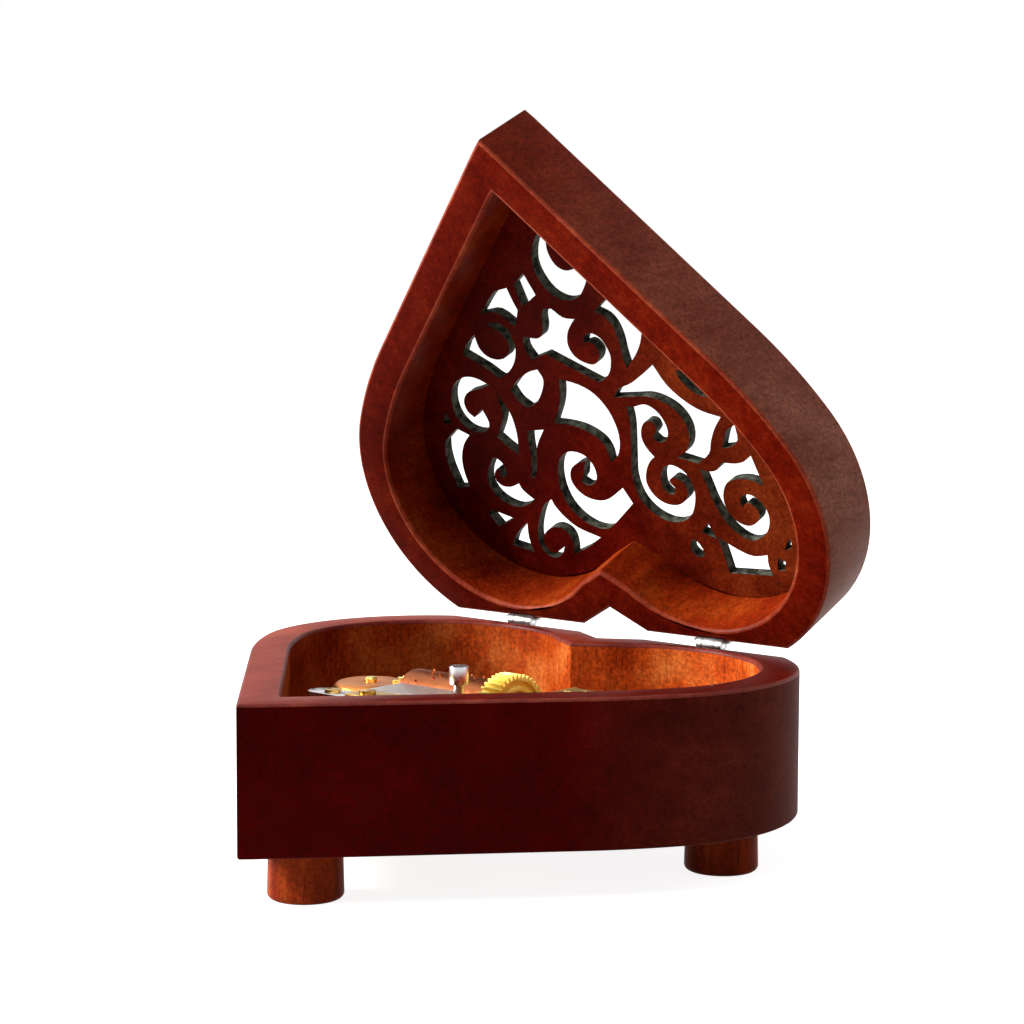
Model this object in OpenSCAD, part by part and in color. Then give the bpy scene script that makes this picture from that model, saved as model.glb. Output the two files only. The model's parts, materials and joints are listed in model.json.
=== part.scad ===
// Heart-shaped wind-up music box: a wooden case on three feet, a hinged
// lid with a scrollwork panel, and an 18-note movement wound from below.
// Millimetres, +Z up. The origin lies on the floor, midway between the two
// lobe centres of the heart. The tip of the heart points along -Y.

/* [Heart outline] */
// Overall width across both lobes
case_w = 110; // [106:0.5:114]
// Radius of each lobe
lobe_r = 31.87; // [31:0.1:33]
// Distance of the tip in front of the lobe centres
tip_y = 73.9; // [71:0.5:77]
// Radius of the long curve between each lobe and its straight side
side_r = 83; // [75:1:95]
// Angle that this long curve turns through
side_turn = 13.3; // [11:0.5:16]
// Distance of the flat backs behind the lobe centres
back_y = 27.1; // [26.6:0.1:27.8]
// Distance of the bottom of the notch behind the lobe centres
notch_y = 22.6; // [22.2:0.1:23.2]
// Half width of the notch at the flat backs
notch_w = 7.75; // [7.2:0.1:8.4]

/* [Wooden case] */
// Height of the base between the feet and its rim
base_h = 26.2; // [25:0.2:30]
// Wall thickness of the base
base_wall = 7.2; // [6.9:0.1:7.6]
// Thickness of the bottom board
board_t = 4.9; // [4.4:0.1:5.4]
// Width of the ledge that the bottom board is glued to
board_ledge = 3.6; // [3:0.1:4.2]
// Wood left behind the bottom board at the flat backs
board_back = 1.4; // [1.2:0.1:1.8]
// Glue gap round the bottom board and round the fretwork panel
glue_gap = 0.1; // [0.05:0.05:0.2]
// Height of the lid
lid_h = 14.8; // [14:0.2:18]
// Wall thickness of the lid
lid_wall = 7; // [6.8:0.1:7.4]
// Gap between the base and the closed lid
lid_gap = 1; // [0.8:0.1:1.2]
// Opening angle that the lid is drawn at
lid_open = 66; // [40:1:100]

/* [Feet] */
// Height of the feet
foot_h = 9.2; // [8.8:0.1:12]
// Diameter of a foot where it meets the base
foot_top_d = 12.8; // [11:0.1:14]
// Diameter of a foot at the floor
foot_low_d = 13.2; // [12:0.1:14]
// Distance of the front foot in front of the lobe centres
front_foot_y = 57.5; // [56:0.5:59]
// Distance of each rear foot outside the centre of its lobe
rear_foot_out = 18.57; // [17:0.01:20]
// Distance of the rear feet behind the lobe centres
rear_foot_y = 5.4; // [4:0.1:7]

/* [Fretwork panel] */
// Thickness of the panel
panel_t = 2.2; // [1.6:0.1:2.6]
// Depth of the panel's face below the outer face of the lid
panel_sink = 0.4; // [0.2:0.1:0.8]
// Width of the rebate that the panel sits in
panel_lap = 2.8; // [2:0.1:3.2]

/* [Hinges] */
// Distance of each hinge from the middle
hinge_x = 23; // [20:0.5:26]
// Width of a hinge leaf
leaf_w = 8; // [7:0.2:10]
// Thickness of a hinge leaf
leaf_t = 0.5; // [0.4:0.05:0.52]
// Height of a hinge leaf below or above the knuckles
leaf_h = 7; // [6:0.2:9]
// Diameter of the hinge knuckles
knuckle_d = 2.2; // [2:0.1:2.4]
// Width of the middle knuckle
knuckle_w = 2.8; // [2.4:0.1:3.2]
// Diameter of the hinge pins
hinge_pin_d = 1; // [0.8:0.05:1.2]

/* [Music drum] */
// Diameter of the drum
drum_d = 12.8; // [12.2:0.1:13.2]
// Length of the drum
drum_len = 19.8; // [19:0.1:20.4]
// Height of the drum's axle above the bed plate
axle_h = 10.3; // [10:0.1:10.6]
// Diameter of the drum's axle
axle_d = 1.6; // [1.4:0.1:2]
// Number of notes on the comb
notes = 18; // [12:1:20]
// Distance between neighbouring notes
note_pitch = 0.8; // [0.76:0.01:0.82]
// Height of the drum's pins
pin_h = 0.35; // [0.25:0.05:0.4]
// Number of teeth on the large drum gear
gear_teeth = 44; // [40:1:44]
// Diameter over the teeth of the drum gear
gear_d = 16; // [15.6:0.1:16.2]
// Thickness of the drum gear
gear_t = 4; // [3.4:0.1:4.2]

/* [Spring housing] */
// Diameter of the drawn spring housing
housing_d = 14.4; // [13.6:0.1:14.6]
// Height of the spring housing above the crown wheel
housing_h = 7.8; // [7.2:0.1:8]
// Number of teeth on the crown wheel
crown_teeth = 40; // [36:2:44]
// Diameter of the winding arbor
arbor_d = 3; // [2.6:0.1:3.4]
// Turns of the mainspring
spring_turns = 7; // [5:1:9]

/* [Comb and bed] */
// Thickness of the cast bed plate
bed_t = 2; // [1.6:0.1:2.4]
// Height of the comb's top face above the bed plate
comb_h = 15; // [14.6:0.1:15.2]
// Thickness of the comb's heel
heel_t = 1.4; // [1.2:0.1:2]
// Thickness of the comb's teeth
tooth_t = 0.5; // [0.4:0.05:0.6]
// Gap between the comb's teeth
tooth_gap = 0.22; // [0.16:0.02:0.3]

/* [Winding key] */
// Width across the wings of the key
key_w = 17; // [14:0.5:18]
// Height of the key's wings
key_h = 5.6; // [5:0.1:6]

/* [Hidden] */

$fn = 64;
eps = 0.01;

// Heights of the wooden case
board_z = foot_h;
floor_z = board_z + board_t;
rim_z = foot_h + base_h;
lid_z = rim_z + lid_gap;

// Heart outline: lobe centre, and the joints between its curves
lobe_x = case_w / 2 - lobe_r;
notch_a = atan((back_y - notch_y) / notch_w);

// Centre of the long curve for a straight side that leans by angle a
function unit(a) = [cos(a), sin(a)];
function side_centre(a) =
    [lobe_x, 0] - (side_r - lobe_r) * unit(a - 90 + side_turn);
// Signed distance of the heart's tip from that straight side
function tip_miss(a) =
    ([0, -tip_y] - side_centre(a)) * unit(a - 90) - side_r;
// Bisection for the lean at which the straight side ends on the tip
function side_lean(lo, hi, n) = n == 0 ? (lo + hi) / 2
    : let(mid = (lo + hi) / 2)
      tip_miss(lo) * tip_miss(mid) <= 0 ? side_lean(lo, mid, n - 1)
                                        : side_lean(mid, hi, n - 1);
lean = side_lean(30, 65, 30);
side_c = side_centre(lean);
// Tangent curves are set in by a hair, so that each one crosses the next
curve_sink = 0.01;
side_sink = 0.03;
side_n = unit(lean - 90);
// Overlaps between the pieces that make up the outline
lap_n = unit(lean - 93);
lap = 3;
lap_root = 8;
join_n = unit(lean - 90 + side_turn);

// Straight steps between two drawn points of the scrollwork
scroll_steps = 3;

// Hinges: the axis runs along X, midway between base and closed lid
hinge_y = back_y + leaf_t + 0.06;
hinge_z = rim_z + lid_gap / 2;
knuckle_play = 0.1;
pin_play = 0.03;
outer_knuckle_w = knuckle_w / 2;
hinge_screw_d = 1.1;
hinge_screw_len = 2;

// Screws that are seen only from below or inside
foot_screw_d = 2.4;
foot_screw_head_d = 4.6;
foot_screw_sink = 4;
foot_screw_bite = 3.6;
foot_head_h = 1.4;

// Movement: everything stands on the bed plate on the cavity's floor
bed_z = floor_z + bed_t;
axle_z = bed_z + axle_h;
drum_y = -15.8;
drum_x0 = -12.2;
drum_r = drum_d / 2;
pin_d = 0.4;
axle_play = 0.04;
side_play = 0.15;

// Drum gear, and the train that it drives
gear_x0 = drum_x0 + drum_len + 0.4;
gear_pitch_r = gear_d / 2 - gear_d / (gear_teeth + 2);
gear_m = 2 * gear_pitch_r / gear_teeth;
train_pinion_teeth = 8;
train_pinion_r = gear_m * train_pinion_teeth / 2;
mesh_gap = 0.1;
train_lean = 11;
train_reach = gear_pitch_r + train_pinion_r + mesh_gap;
train_y = drum_y + train_reach * cos(train_lean);
train_z = axle_z - train_reach * sin(train_lean);
// Turn that sets a gap of the pinion opposite a tooth of the drum gear
train_pinion_turn = 270 - train_lean
    + ((90 - train_lean) * gear_teeth / 360 - 0.5) * 360 / train_pinion_teeth;
frame_x0 = gear_x0 + gear_t + 0.7;
frame_t = 0.9;
frame_w = 8.4;
worm_wheel_teeth = 16;
worm_wheel_r = 3;
worm_r = 1.25;
worm_x = frame_x0 + frame_w / 2;
// Depth that the worm's thread reaches between the teeth of its wheel
worm_bite = 0.3;
worm_y = train_y + worm_wheel_r + worm_r - worm_bite;

// Pinion on the drum's left end, and the crown wheel below it
pinion_teeth = crown_teeth / 2;
crown_face = 2.4;
crown_d = housing_d + 2 * (crown_face + 0.4);
crown_r = crown_d / 2 - crown_face / 2 - 0.05;
crown_m = 2 * crown_r / crown_teeth;
pinion_r = crown_m * pinion_teeth / 2;
post_t = 0.9;
post_x0 = drum_x0 - 0.25 - post_t;
pinion_x0 = post_x0 - 0.15 - crown_face;
housing_x = pinion_x0 + crown_face / 2 - crown_r;
housing_y = drum_y;
crown_z = axle_z - pinion_r - mesh_gap;
tooth_high = 0.8 * crown_m;
crown_t = 1.8;
crown_top = crown_z - crown_m;
housing_top = crown_top + housing_h;
housing_wall = 0.5;

// Comb: its tips stand just clear of the drum's pins
comb_top = bed_z + comb_h;
comb_clear = 0.12;
comb_x0 = drum_x0 + 1.4;
comb_w = notes * note_pitch;
comb_reach = drum_r + pin_h + comb_clear;
comb_tip_y = drum_y
    - sqrt(comb_reach * comb_reach - pow(comb_top - tooth_t - axle_z, 2));
comb_heel_y = -30.5;
comb_back_y = -36.5;

// Winding train
boss_d = 8;
arbor_play = 0.05;
ratchet_t = 1;
ratchet_teeth = 12;
ratchet_r = 3.4;
ratchet_depth = 0.7;
ratchet_z = bed_z + 0.3;
key_gap = 1.2;
key_floor = 1;

// Winding key and click
arbor_grip = 1.6;
key_t = 1.4;
key_hub_h = 3;
key_hub_wall = 1.5;
key_eye = 0.36;
key_neck = 0.64;
click_w = 0.7;
click_len = 4.4;
click_foot = [5, 2];
click_stud_d = 1.6;

// Bed plate: how far it reaches, and its two feet beside the comb
bed_x0 = -19;
bed_corner = 3;
bed_past_frame = 2.2;
bed_past_worm = 3.6;
bed_past_crown = 1.5;
feet_x1 = -14;
side_foot_x0 = -34;
side_foot_y0 = -14;
side_foot_y1 = -1.5;
heel_foot_x0 = -25.4;
heel_foot_y0 = -33;
heel_foot_y1 = -15;

// Screws that hold the bed plate, and the fittings that stand on it
movement_screw_d = 2.6;
movement_head_d = 4.6;
movement_head_h = 1.4;
movement_sink = 2;
movement_bite = 3;
rail_w = 6.6;
rail_x1 = comb_x0 + comb_w + 0.4;
comb_screw_d = 2;
comb_screw_places = [for (x = [0.22, 0.78])
    [comb_x0 + comb_w * x, (comb_heel_y + comb_back_y) / 2 - 0.3]];
strap_x = housing_x + 3.15;
strap_y = housing_y - crown_d / 2 - 3.6;
strap_t = 1.2;
strap_top = rim_z - 6;
strap_screw_d = 1.8;
strap_screw_bite = 4;
pillar_x = gear_x0 - 2.1;
pillar_y = drum_y - 8.8;
pillar_stem_d = 2;
pillar_cap_d = 3.5;
pillar_cap_h = 3.3;
pillar_top = rim_z + 1;

// Governor
governor_screw_d = 1.6;
governor_screw_places = [for (x = [frame_x0 + 2.6, frame_x0 + frame_w - 1.8])
    [x, train_y - 5]];
governor_axle_d = 1;
foot_t = 0.9;
arm_z = train_z + 4.6;
worm_axle_d = 0.8;
worm_turns = 4;
worm_pitch = 2 * PI * worm_wheel_r / worm_wheel_teeth;
worm_core_r = worm_r - 0.45;
fly_h = 2.6;
fly_w = 6.2;

// Turns a closed lid to the angle that it is drawn at
module lid_pose() {
    translate([0, hinge_y, hinge_z])
        rotate([-lid_open, 0, 0])
            translate([0, -hinge_y, -hinge_z])
                children();
}

// The right half of the heart, inset by the given distance
module half_heart(inset) {
    tip = [0, -tip_y + inset / cos(lean)];
    r = side_r - inset - curve_sink;
    side_end = side_c + side_n * (side_r - inset - side_sink) + unit(lean);
    notch = [0, notch_y - inset / cos(notch_a)];
    // Nearest point of the notch's side to the lobe centre
    along = ([lobe_x, 0] - notch) * unit(notch_a);
    foot = notch + along * unit(notch_a);
    translate([lobe_x, 0])
        circle(r = lobe_r - inset, $fn = 128);
    intersection() {
        translate(side_c)
            circle(r = r, $fn = 256);
        polygon([[lobe_x, 0], side_c + lap_n * (r - lap_root),
            side_c + lap_n * (r + lap), side_c + join_n * (r + lap)]);
    }
    polygon([tip, side_end, side_c + join_n * (r - 0.5), [lobe_x, 0], foot,
        notch, [-eps, 0], [-eps, tip[1] + 2 * eps]]);
}

// The whole heart: a closed outline without the flat backs
module round_heart(inset) {
    half_heart(inset);
    mirror([1, 0])
        half_heart(inset);
}

// The heart with its flat backs and its straight-sided notch
module heart(inset, back) {
    apex = notch_y - inset / cos(notch_a) - eps;
    rise = back - apex + 1;
    run = rise / tan(notch_a);
    difference() {
        round_heart(inset);
        translate([-case_w, back])
            square([2 * case_w, case_w]);
        polygon([[0, apex], [run, apex + rise], [-run, apex + rise]]);
    }
}

// Mirrored copies on the left and the right
module both_sides() {
    children();
    mirror([1, 0, 0])
        children();
}

// Shallow relief in the wood for the knuckles of one hinge
module knuckle_relief() {
    for (s = [-1, 1])
        translate([s * hinge_x, hinge_y, hinge_z])
            rotate([0, 90, 0])
                cylinder(d = knuckle_d + 0.7, h = leaf_w + 0.6, center = true);
}

function foot_places() = [[0, -front_foot_y],
    [-lobe_x - rear_foot_out, rear_foot_y],
    [lobe_x + rear_foot_out, rear_foot_y]];
function bed_screw_places() = [[housing_x - 6.55, housing_y + 10.8],
    [housing_x + 7.45, comb_back_y + 3.3], [frame_x0 + 5.8, drum_y - 6]];

module base_case() color([0.30, 0.07, 0.05])
    difference() {
        union() {
            // Thin stretch round the bottom board
            translate([0, 0, board_z])
                linear_extrude(board_t)
                    difference() {
                        heart(0, back_y);
                        heart(board_ledge, back_y - board_back);
                    }
            // Walls of the cavity
            translate([0, 0, floor_z])
                linear_extrude(base_h - board_t)
                    difference() {
                        heart(0, back_y);
                        round_heart(base_wall);
                    }
        }
        knuckle_relief();
        hinge_screw_holes(-1);
    }

module bottom_board() color([0.42, 0.20, 0.10])
    difference() {
        translate([0, 0, board_z])
            linear_extrude(board_t)
                heart(board_ledge + glue_gap, back_y - board_back - glue_gap);
        for (p = foot_places())
            translate([p[0], p[1], board_z - eps])
                cylinder(d = foot_screw_d, h = foot_screw_bite + eps);
        for (p = bed_screw_places())
            translate([p[0], p[1], board_z - eps]) {
                cylinder(d = movement_screw_d + 0.4, h = board_t + 1);
                cylinder(d = movement_head_d + 0.4, h = movement_sink + eps);
            }
        translate([housing_x, housing_y, board_z - eps])
            cylinder(d = arbor_d + 3, h = board_t + 1);
    }

// A turned foot with a broken lower edge and a counterbored screw hole
module foot(place) {
    edge = 0.6;
    translate([place[0], place[1], 0])
        difference() {
            rotate_extrude($fn = 96)
                polygon([[0, 0], [foot_low_d / 2 - edge, 0],
                    [foot_low_d / 2, edge], [foot_top_d / 2, foot_h],
                    [0, foot_h]]);
            translate([0, 0, -eps])
                cylinder(d = foot_screw_head_d + 0.4, h = foot_screw_sink + eps);
            cylinder(d = foot_screw_d + 0.2, h = foot_h + 1);
        }
}
module front_foot() color([0.45, 0.22, 0.10])
    foot(foot_places()[0]);
module left_rear_foot() color([0.45, 0.22, 0.10])
    foot(foot_places()[1]);
module right_rear_foot() color([0.45, 0.22, 0.10])
    foot(foot_places()[2]);

// Pan-headed screw with a slot, its head down and its shank up
module pan_screw(shank_d, head_d, head_h, len) {
    difference() {
        cylinder(d = head_d, h = head_h);
        translate([0, 0, -eps])
            cube([head_d + 1, head_d / 8, head_h], center = true);
    }
    translate([0, 0, head_h - eps])
        cylinder(d = shank_d, h = len + eps);
}
module foot_screws() color([0.75, 0.70, 0.55])
    for (p = foot_places())
        translate([p[0], p[1], foot_screw_sink - foot_head_h])
            pan_screw(foot_screw_d, foot_screw_head_d, foot_head_h,
                foot_h - foot_screw_sink + foot_screw_bite - 0.2);

module lid_frame() color([0.36, 0.13, 0.07])
    lid_pose()
        difference() {
            union() {
                // Walls of the recess
                translate([0, 0, lid_z])
                    linear_extrude(lid_h - panel_t - panel_sink)
                        difference() {
                            heart(0, back_y);
                            round_heart(lid_wall);
                        }
                // Thin stretch round the fretwork panel
                translate([0, 0, lid_z + lid_h - panel_t - panel_sink])
                    linear_extrude(panel_t + panel_sink)
                        difference() {
                            heart(0, back_y);
                            heart(lid_wall - panel_lap, back_y - board_back);
                        }
            }
            knuckle_relief();
            hinge_screw_holes(1);
        }

// ---- Scrollwork ----

// Point of a curve from p to q that leaves along s and arrives along e
function on_curve(p, q, s, e, t) = p * (2 * t * t * t - 3 * t * t + 1)
    + q * (3 * t * t - 2 * t * t * t) + s * (t * t * t - 2 * t * t + t)
    + e * (t * t * t - t * t);

// Opening with a smooth outline; a point [x, y, 1] is a sharp corner
module opening(points, n = scroll_steps) {
    count = len(points);
    function at(i) = let(p = points[(i + count) % count]) [p[0], p[1]];
    function sharp(i) = len(points[(i + count) % count]) == 3;
    function heading(i, side) = sharp(i) ? (at(i + side) - at(i)) * side
        : (at(i + 1) - at(i - 1)) / 2;
    polygon([for (i = [0:count - 1], k = [0:n - 1])
        on_curve(at(i), at(i + 1), heading(i, 1), heading(i + 1, -1), k / n)]);
}

// Openings of the left lobe, seen from inside the lid
module left_openings() {
    // Large volute beside the notch
    opening([[2.1, 6.2, 1], [-4, 11.3], [-6.3, 12.5], [-9.4, 12.2],
        [-12.2, 10.6], [-14.3, 7.9], [-15.1, 4.4], [-14.7, 0.7],
        [-13.2, -2.4], [-10.8, -4.1], [-8.3, -4.2], [-6.3, -3.3],
        [-5.1, -1.3], [-5.1, 0.9], [-6.1, 2.4], [-7.9, 3], [-9.4, 2.2, 1],
        [-8.3, 0.9], [-7.7, -0.8], [-6.8, -2.4, 1], [-8.6, -1.9],
        [-10.6, -0.8], [-11.6, 0.8], [-11.7, 2.6], [-10.7, 4.4],
        [-8.9, 5.7], [-6.1, 6.2], [-3.3, 5.5], [0.6, 2.9, 1]]);
    // Crescent under it and the leaf beside the crescent
    opening([[-12, -10.4, 1], [-8.3, -10.1], [-5, -9.3], [-1.9, -7.4],
        [-0.7, -5.2], [-0.6, -2.6, 1], [1.5, -4.1], [2.8, -6.6],
        [3.2, -9.9], [2.3, -13.8], [0, -17.1], [-3.3, -19], [-7.8, -20, 1],
        [-8.4, -17], [-9.7, -13.9]]);
    opening([[-17.7, -13.3, 1], [-15.4, -14.3], [-13.2, -16.6],
        [-11.7, -19.6], [-12.5, -21.8, 1], [-15, -21.1], [-18.2, -19.3],
        [-20.7, -17.1, 1], [-19.7, -14.9]]);
    // Small head beside the notch, with its curl
    opening([[-18.4, 17.6, 1], [-19.7, 19.6], [-21.7, 20.4],
        [-23.7, 19.6], [-24.7, 17.6], [-24.6, 15.4], [-23.6, 12.9],
        [-22.2, 10.4], [-20.5, 8.2], [-18.3, 6.9, 1], [-17.8, 8.4],
        [-16.1, 10.7], [-13.3, 12.9], [-8.4, 14.6, 1], [-12, 17],
        [-16.4, 19.1, 1], [-16, 17.1], [-16.1, 15.1], [-17.2, 13.7],
        [-19.2, 13.2], [-21.4, 14], [-23, 15.6], [-23.3, 17.4],
        [-22.5, 18.9], [-21.1, 19.2], [-19.8, 18.5]]);
    opening([[-32.1, 18.4, 1], [-26.9, 19.6, 1], [-27.1, 16.2],
        [-26.4, 12.7, 1], [-30.4, 16]]);
    opening([[-34.2, 14.4, 1], [-29.6, 12.1, 1], [-35, 10.5, 1],
        [-36.2, 11.5, 1]]);
    // Crescent along the side
    opening([[-42.3, 6.1, 1], [-39, 5.6, 1], [-39.3, 2.3], [-38.8, -1],
        [-37.2, -4.1], [-35, -6.3, 1], [-37.9, -7.6, 1], [-42.2, -4.3, 1],
        [-42.9, -1.6], [-43, 1.8]]);
    opening([[-41.1, -8.7, 1], [-38.7, -8.6, 1], [-39.6, -11.2, 1]]);
    // Upper left volute
    opening([[-22.8, 7.3, 1], [-24.4, 8.4], [-27.2, 9.3], [-30, 8.8],
        [-32.5, 7.1], [-33.6, 4.6], [-33.1, 2.2], [-31.9, 0.3],
        [-30.3, -1.6], [-28.6, -0.7], [-28, 0.9], [-28.3, 2.2],
        [-29.2, 2.9], [-30.1, 2.2, 1], [-29.5, 1.2], [-30.2, 0.9],
        [-31.3, 2.1], [-31.3, 3.7], [-30, 4.8], [-27.8, 4.8],
        [-25.6, 3.9, 1], [-25, 5.4]]);
    opening([[-27.8, -6.3, 1], [-25.6, -4.3], [-23.4, -2.7, 1],
        [-22.6, -6], [-22.3, -9.3], [-22.8, -12.7], [-25, -16.4, 1],
        [-24.5, -13.6], [-24.8, -11.1], [-26, -8.8]]);
    // Lower left volute
    opening([[-25.8, -17.8, 1], [-28.9, -19.2], [-31.7, -19.3],
        [-34.4, -18.1], [-36.4, -15.7], [-37.2, -12.7], [-36.7, -9.9],
        [-35, -7.9], [-32.5, -7.1], [-30, -7.6], [-28.8, -9.4],
        [-29.6, -12.3, 1], [-31.1, -11.3], [-32.2, -10.4, 1],
        [-33.6, -11.7], [-33.8, -13.8], [-32.4, -15.7], [-30, -16.5]]);
    // Head near the left side, with its curl
    opening([[-30.4, -24.3, 1], [-25.6, -21.6], [-22.8, -19.6],
        [-21.1, -20.2], [-18.9, -21.8], [-17.2, -24.1], [-16.4, -26.8],
        [-17.1, -30], [-19.4, -31.5], [-21.9, -31, 1], [-20, -29.8],
        [-18.4, -28.4], [-18, -26.2], [-19.4, -24.2], [-21.8, -23.5],
        [-24.2, -24.1], [-25.7, -25.9], [-26, -28.7, 1],
        [-28.9, -26.4, 1]]);
    opening([[-22.8, -33.2, 1], [-18.8, -33.6], [-14.9, -30.7, 1],
        [-13.2, -34.3, 1], [-13.9, -36.6], [-14.4, -38.9, 1],
        [-17.7, -38.1, 1], [-20.2, -35.9]]);
    opening([[-11.8, -35, 1], [-7.7, -37.6, 1], [-9.3, -42, 1],
        [-12.5, -39.6, 1]]);
    // Slit between the large volute and the upper left one
    opening([[-22.1, 2.4, 1], [-20.5, 1.8], [-19.4, -1], [-18, -5],
        [-15.2, -8.7, 1], [-19.3, -8.2, 1], [-20, -5.4], [-20.6, -1.6]]);
}

// Openings of the middle, between the lobes and the tip
module middle_openings() {
    // Star with the coil that hangs in it
    opening([[-13.1, -23.9, 1], [-9.4, -25.2, 1], [1.6, -19.8, 1],
        [3.3, -20.4], [5.2, -22.2], [6.3, -25.2], [5.9, -27.4],
        [5, -29.1], [3.3, -30], [1.7, -29.6], [0.6, -27.9, 1],
        [2.2, -28.2], [3.5, -27.2], [3.8, -25.6], [2.2, -23.6],
        [0, -23.7], [-2.2, -24.9], [-3.2, -27.2], [-2.5, -29.9],
        [-0.8, -32], [0.1, -32.8, 1], [-2.6, -33.1], [-4.8, -34.8, 1],
        [-6.7, -34.8, 1], [-7.8, -33], [-8.2, -30.8], [-9.2, -29],
        [-10.8, -28.4], [-13.7, -28.8, 1], [-14.2, -26.3]]);
    // Crescent at the tip
    opening([[6.4, -44.2, 1], [5.8, -41.6], [4.5, -39.5], [2.7, -37.6],
        [0.3, -36.7], [-2, -36.9], [-4.3, -38.3], [-5.9, -41], [-6.4, -44],
        [-5.4, -47.2], [-3.4, -50], [-0.8, -52, 1], [-1.6, -49],
        [-1.9, -46.5], [-1, -44], [1, -42.8], [3.4, -43.2]]);
    opening([[9.4, -22.9, 1], [12.4, -26], [14.2, -28.5], [15.3, -31, 1],
        [9.3, -37.6, 1], [5.3, -34.6, 1], [7.5, -33.5], [8.8, -31.6],
        [9.3, -28.8], [9.2, -26]]);
}

// Openings of the right lobe
module right_openings() {
    // Volute, its long tail and the coil that ends below it
    opening([[6.8, -15, 1], [6.7, -11.6], [5.8, -7.7], [4.6, -3.2],
        [3.7, 0.7], [4.1, 4.6], [5.9, 7.4], [8.9, 9.2], [12.2, 9.4],
        [15.3, 7.9], [17.2, 4.8], [17.8, 1.8], [16.9, -1.3],
        [14.4, -2.9], [12.2, -2.5], [10.8, -0.7], [10.4, 1.8],
        [11.4, 3.3], [12.8, 3.3], [13.4, 2, 1], [12.4, 0.6],
        [13.7, -0.3], [15.8, 0.6, 1], [16.2, 2.8], [15, 4.6],
        [12.8, 5.7], [10, 5.5], [7.8, 3.9], [6.8, 1.2], [7.7, -1.6],
        [9.2, -3.6], [10.4, -4.4, 1], [9.1, -6.2], [8.5, -8.4],
        [9.2, -10.7], [10.6, -12], [12.2, -11.8], [12.6, -10.4],
        [12, -9.5, 1], [11.1, -8.7, 1], [12.3, -7.7], [14.1, -8.2],
        [15.1, -9.8], [15.1, -11.6], [14.3, -13.6], [12.9, -15],
        [11.1, -15.6], [8.8, -15]]);
    // Star under the coil
    opening([[4.4, -16.7, 1], [9.4, -17.1], [12.2, -17.3], [15, -16.7],
        [17.8, -15.1], [19.5, -12.8], [20, -10.2], [19.3, -7.6],
        [17.8, -5.8], [15.7, -4.8, 1], [20.4, -3.7, 1], [23.5, -6.1],
        [24.6, -8.6], [26.2, -11.4], [28.3, -13.9, 1], [24.4, -14.9],
        [21, -16.8], [17.8, -19.9], [15.7, -24.1, 1], [10, -20.2],
        [6.1, -18.7, 1]]);
    opening([[20.6, -23.2, 1], [21.4, -20.8], [24, -18.5], [28.6, -17.4, 1],
        [26.4, -20.6], [23.6, -22.8]]);
    opening([[26.8, -7.4, 1], [28.9, -7.8], [30.8, -9.3],
        [31, -12.4, 1], [28.7, -11]]);
    // Outer volute
    opening([[20.3, -2.6, 1], [21, 0.7], [21.7, 4.6], [23.2, 8.3],
        [25.6, 10.9], [28.3, 12], [31.1, 10.9], [32.9, 8.9], [33.6, 6.2],
        [32.8, 3.7], [30.8, 2.2], [28.9, 2.3], [27.8, 3.7],
        [28, 5.1, 1], [29.3, 3.9], [30.8, 4.6], [31.6, 6.2],
        [30.6, 7.9], [28.3, 8.9], [25.7, 7.9], [24.2, 5.4], [24.3, 2.6],
        [25.8, 0], [28.5, -1], [31.4, -1], [34.2, 0, 1], [33.6, -2.7],
        [32.9, -6.4, 1], [31.1, -4.9], [28.9, -4.3], [26, -4.3, 1],
        [24.4, -2.7], [22.6, -2.2]]);
    opening([[21.1, 19.7, 1], [31.2, 19.3, 1], [30.7, 17.1],
        [31, 14.9, 1], [27.8, 15.4], [24.7, 14.4], [20.4, 11.9, 1],
        [20.8, 15.7]]);
    opening([[32.5, 17.9, 1], [34.2, 18, 1], [34.8, 16, 1], [33.2, 15.3, 1]]);
    opening([[35.2, 13.5, 1], [37, 12.8, 1], [37.4, 10.9, 1], [36.2, 11.7]]);
    opening([[16.9, 11.2, 1], [20.2, 12.4, 1], [19, 9, 1]]);
    opening([[13.2, 15.4], [14.9, 16.9], [16.3, 16], [15.6, 13.8],
        [14.2, 13]]);
}

module fret_panel() color([0.40, 0.12, 0.05])
    lid_pose()
        translate([0, 0, lid_z + lid_h - panel_sink - panel_t])
            linear_extrude(panel_t)
                difference() {
                    heart(lid_wall - panel_lap + glue_gap,
                        back_y - board_back - glue_gap);
                    left_openings();
                    middle_openings();
                    right_openings();
                }

// ---- Hinges ----

// Places of the screws in one leaf, s = -1 below the axis or 1 above it
function leaf_screw_places(s) =
    [for (x = [-1, 1]) [x * leaf_w * 0.3, s * (leaf_h * 0.62)]];

module hinge_screw_holes(s) {
    for (side = [-1, 1], p = leaf_screw_places(s))
        translate([side * hinge_x + p[0], back_y + eps, hinge_z + p[1]])
            rotate([90, 0, 0])
                cylinder(d = hinge_screw_d, h = hinge_screw_len + eps);
}

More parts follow.
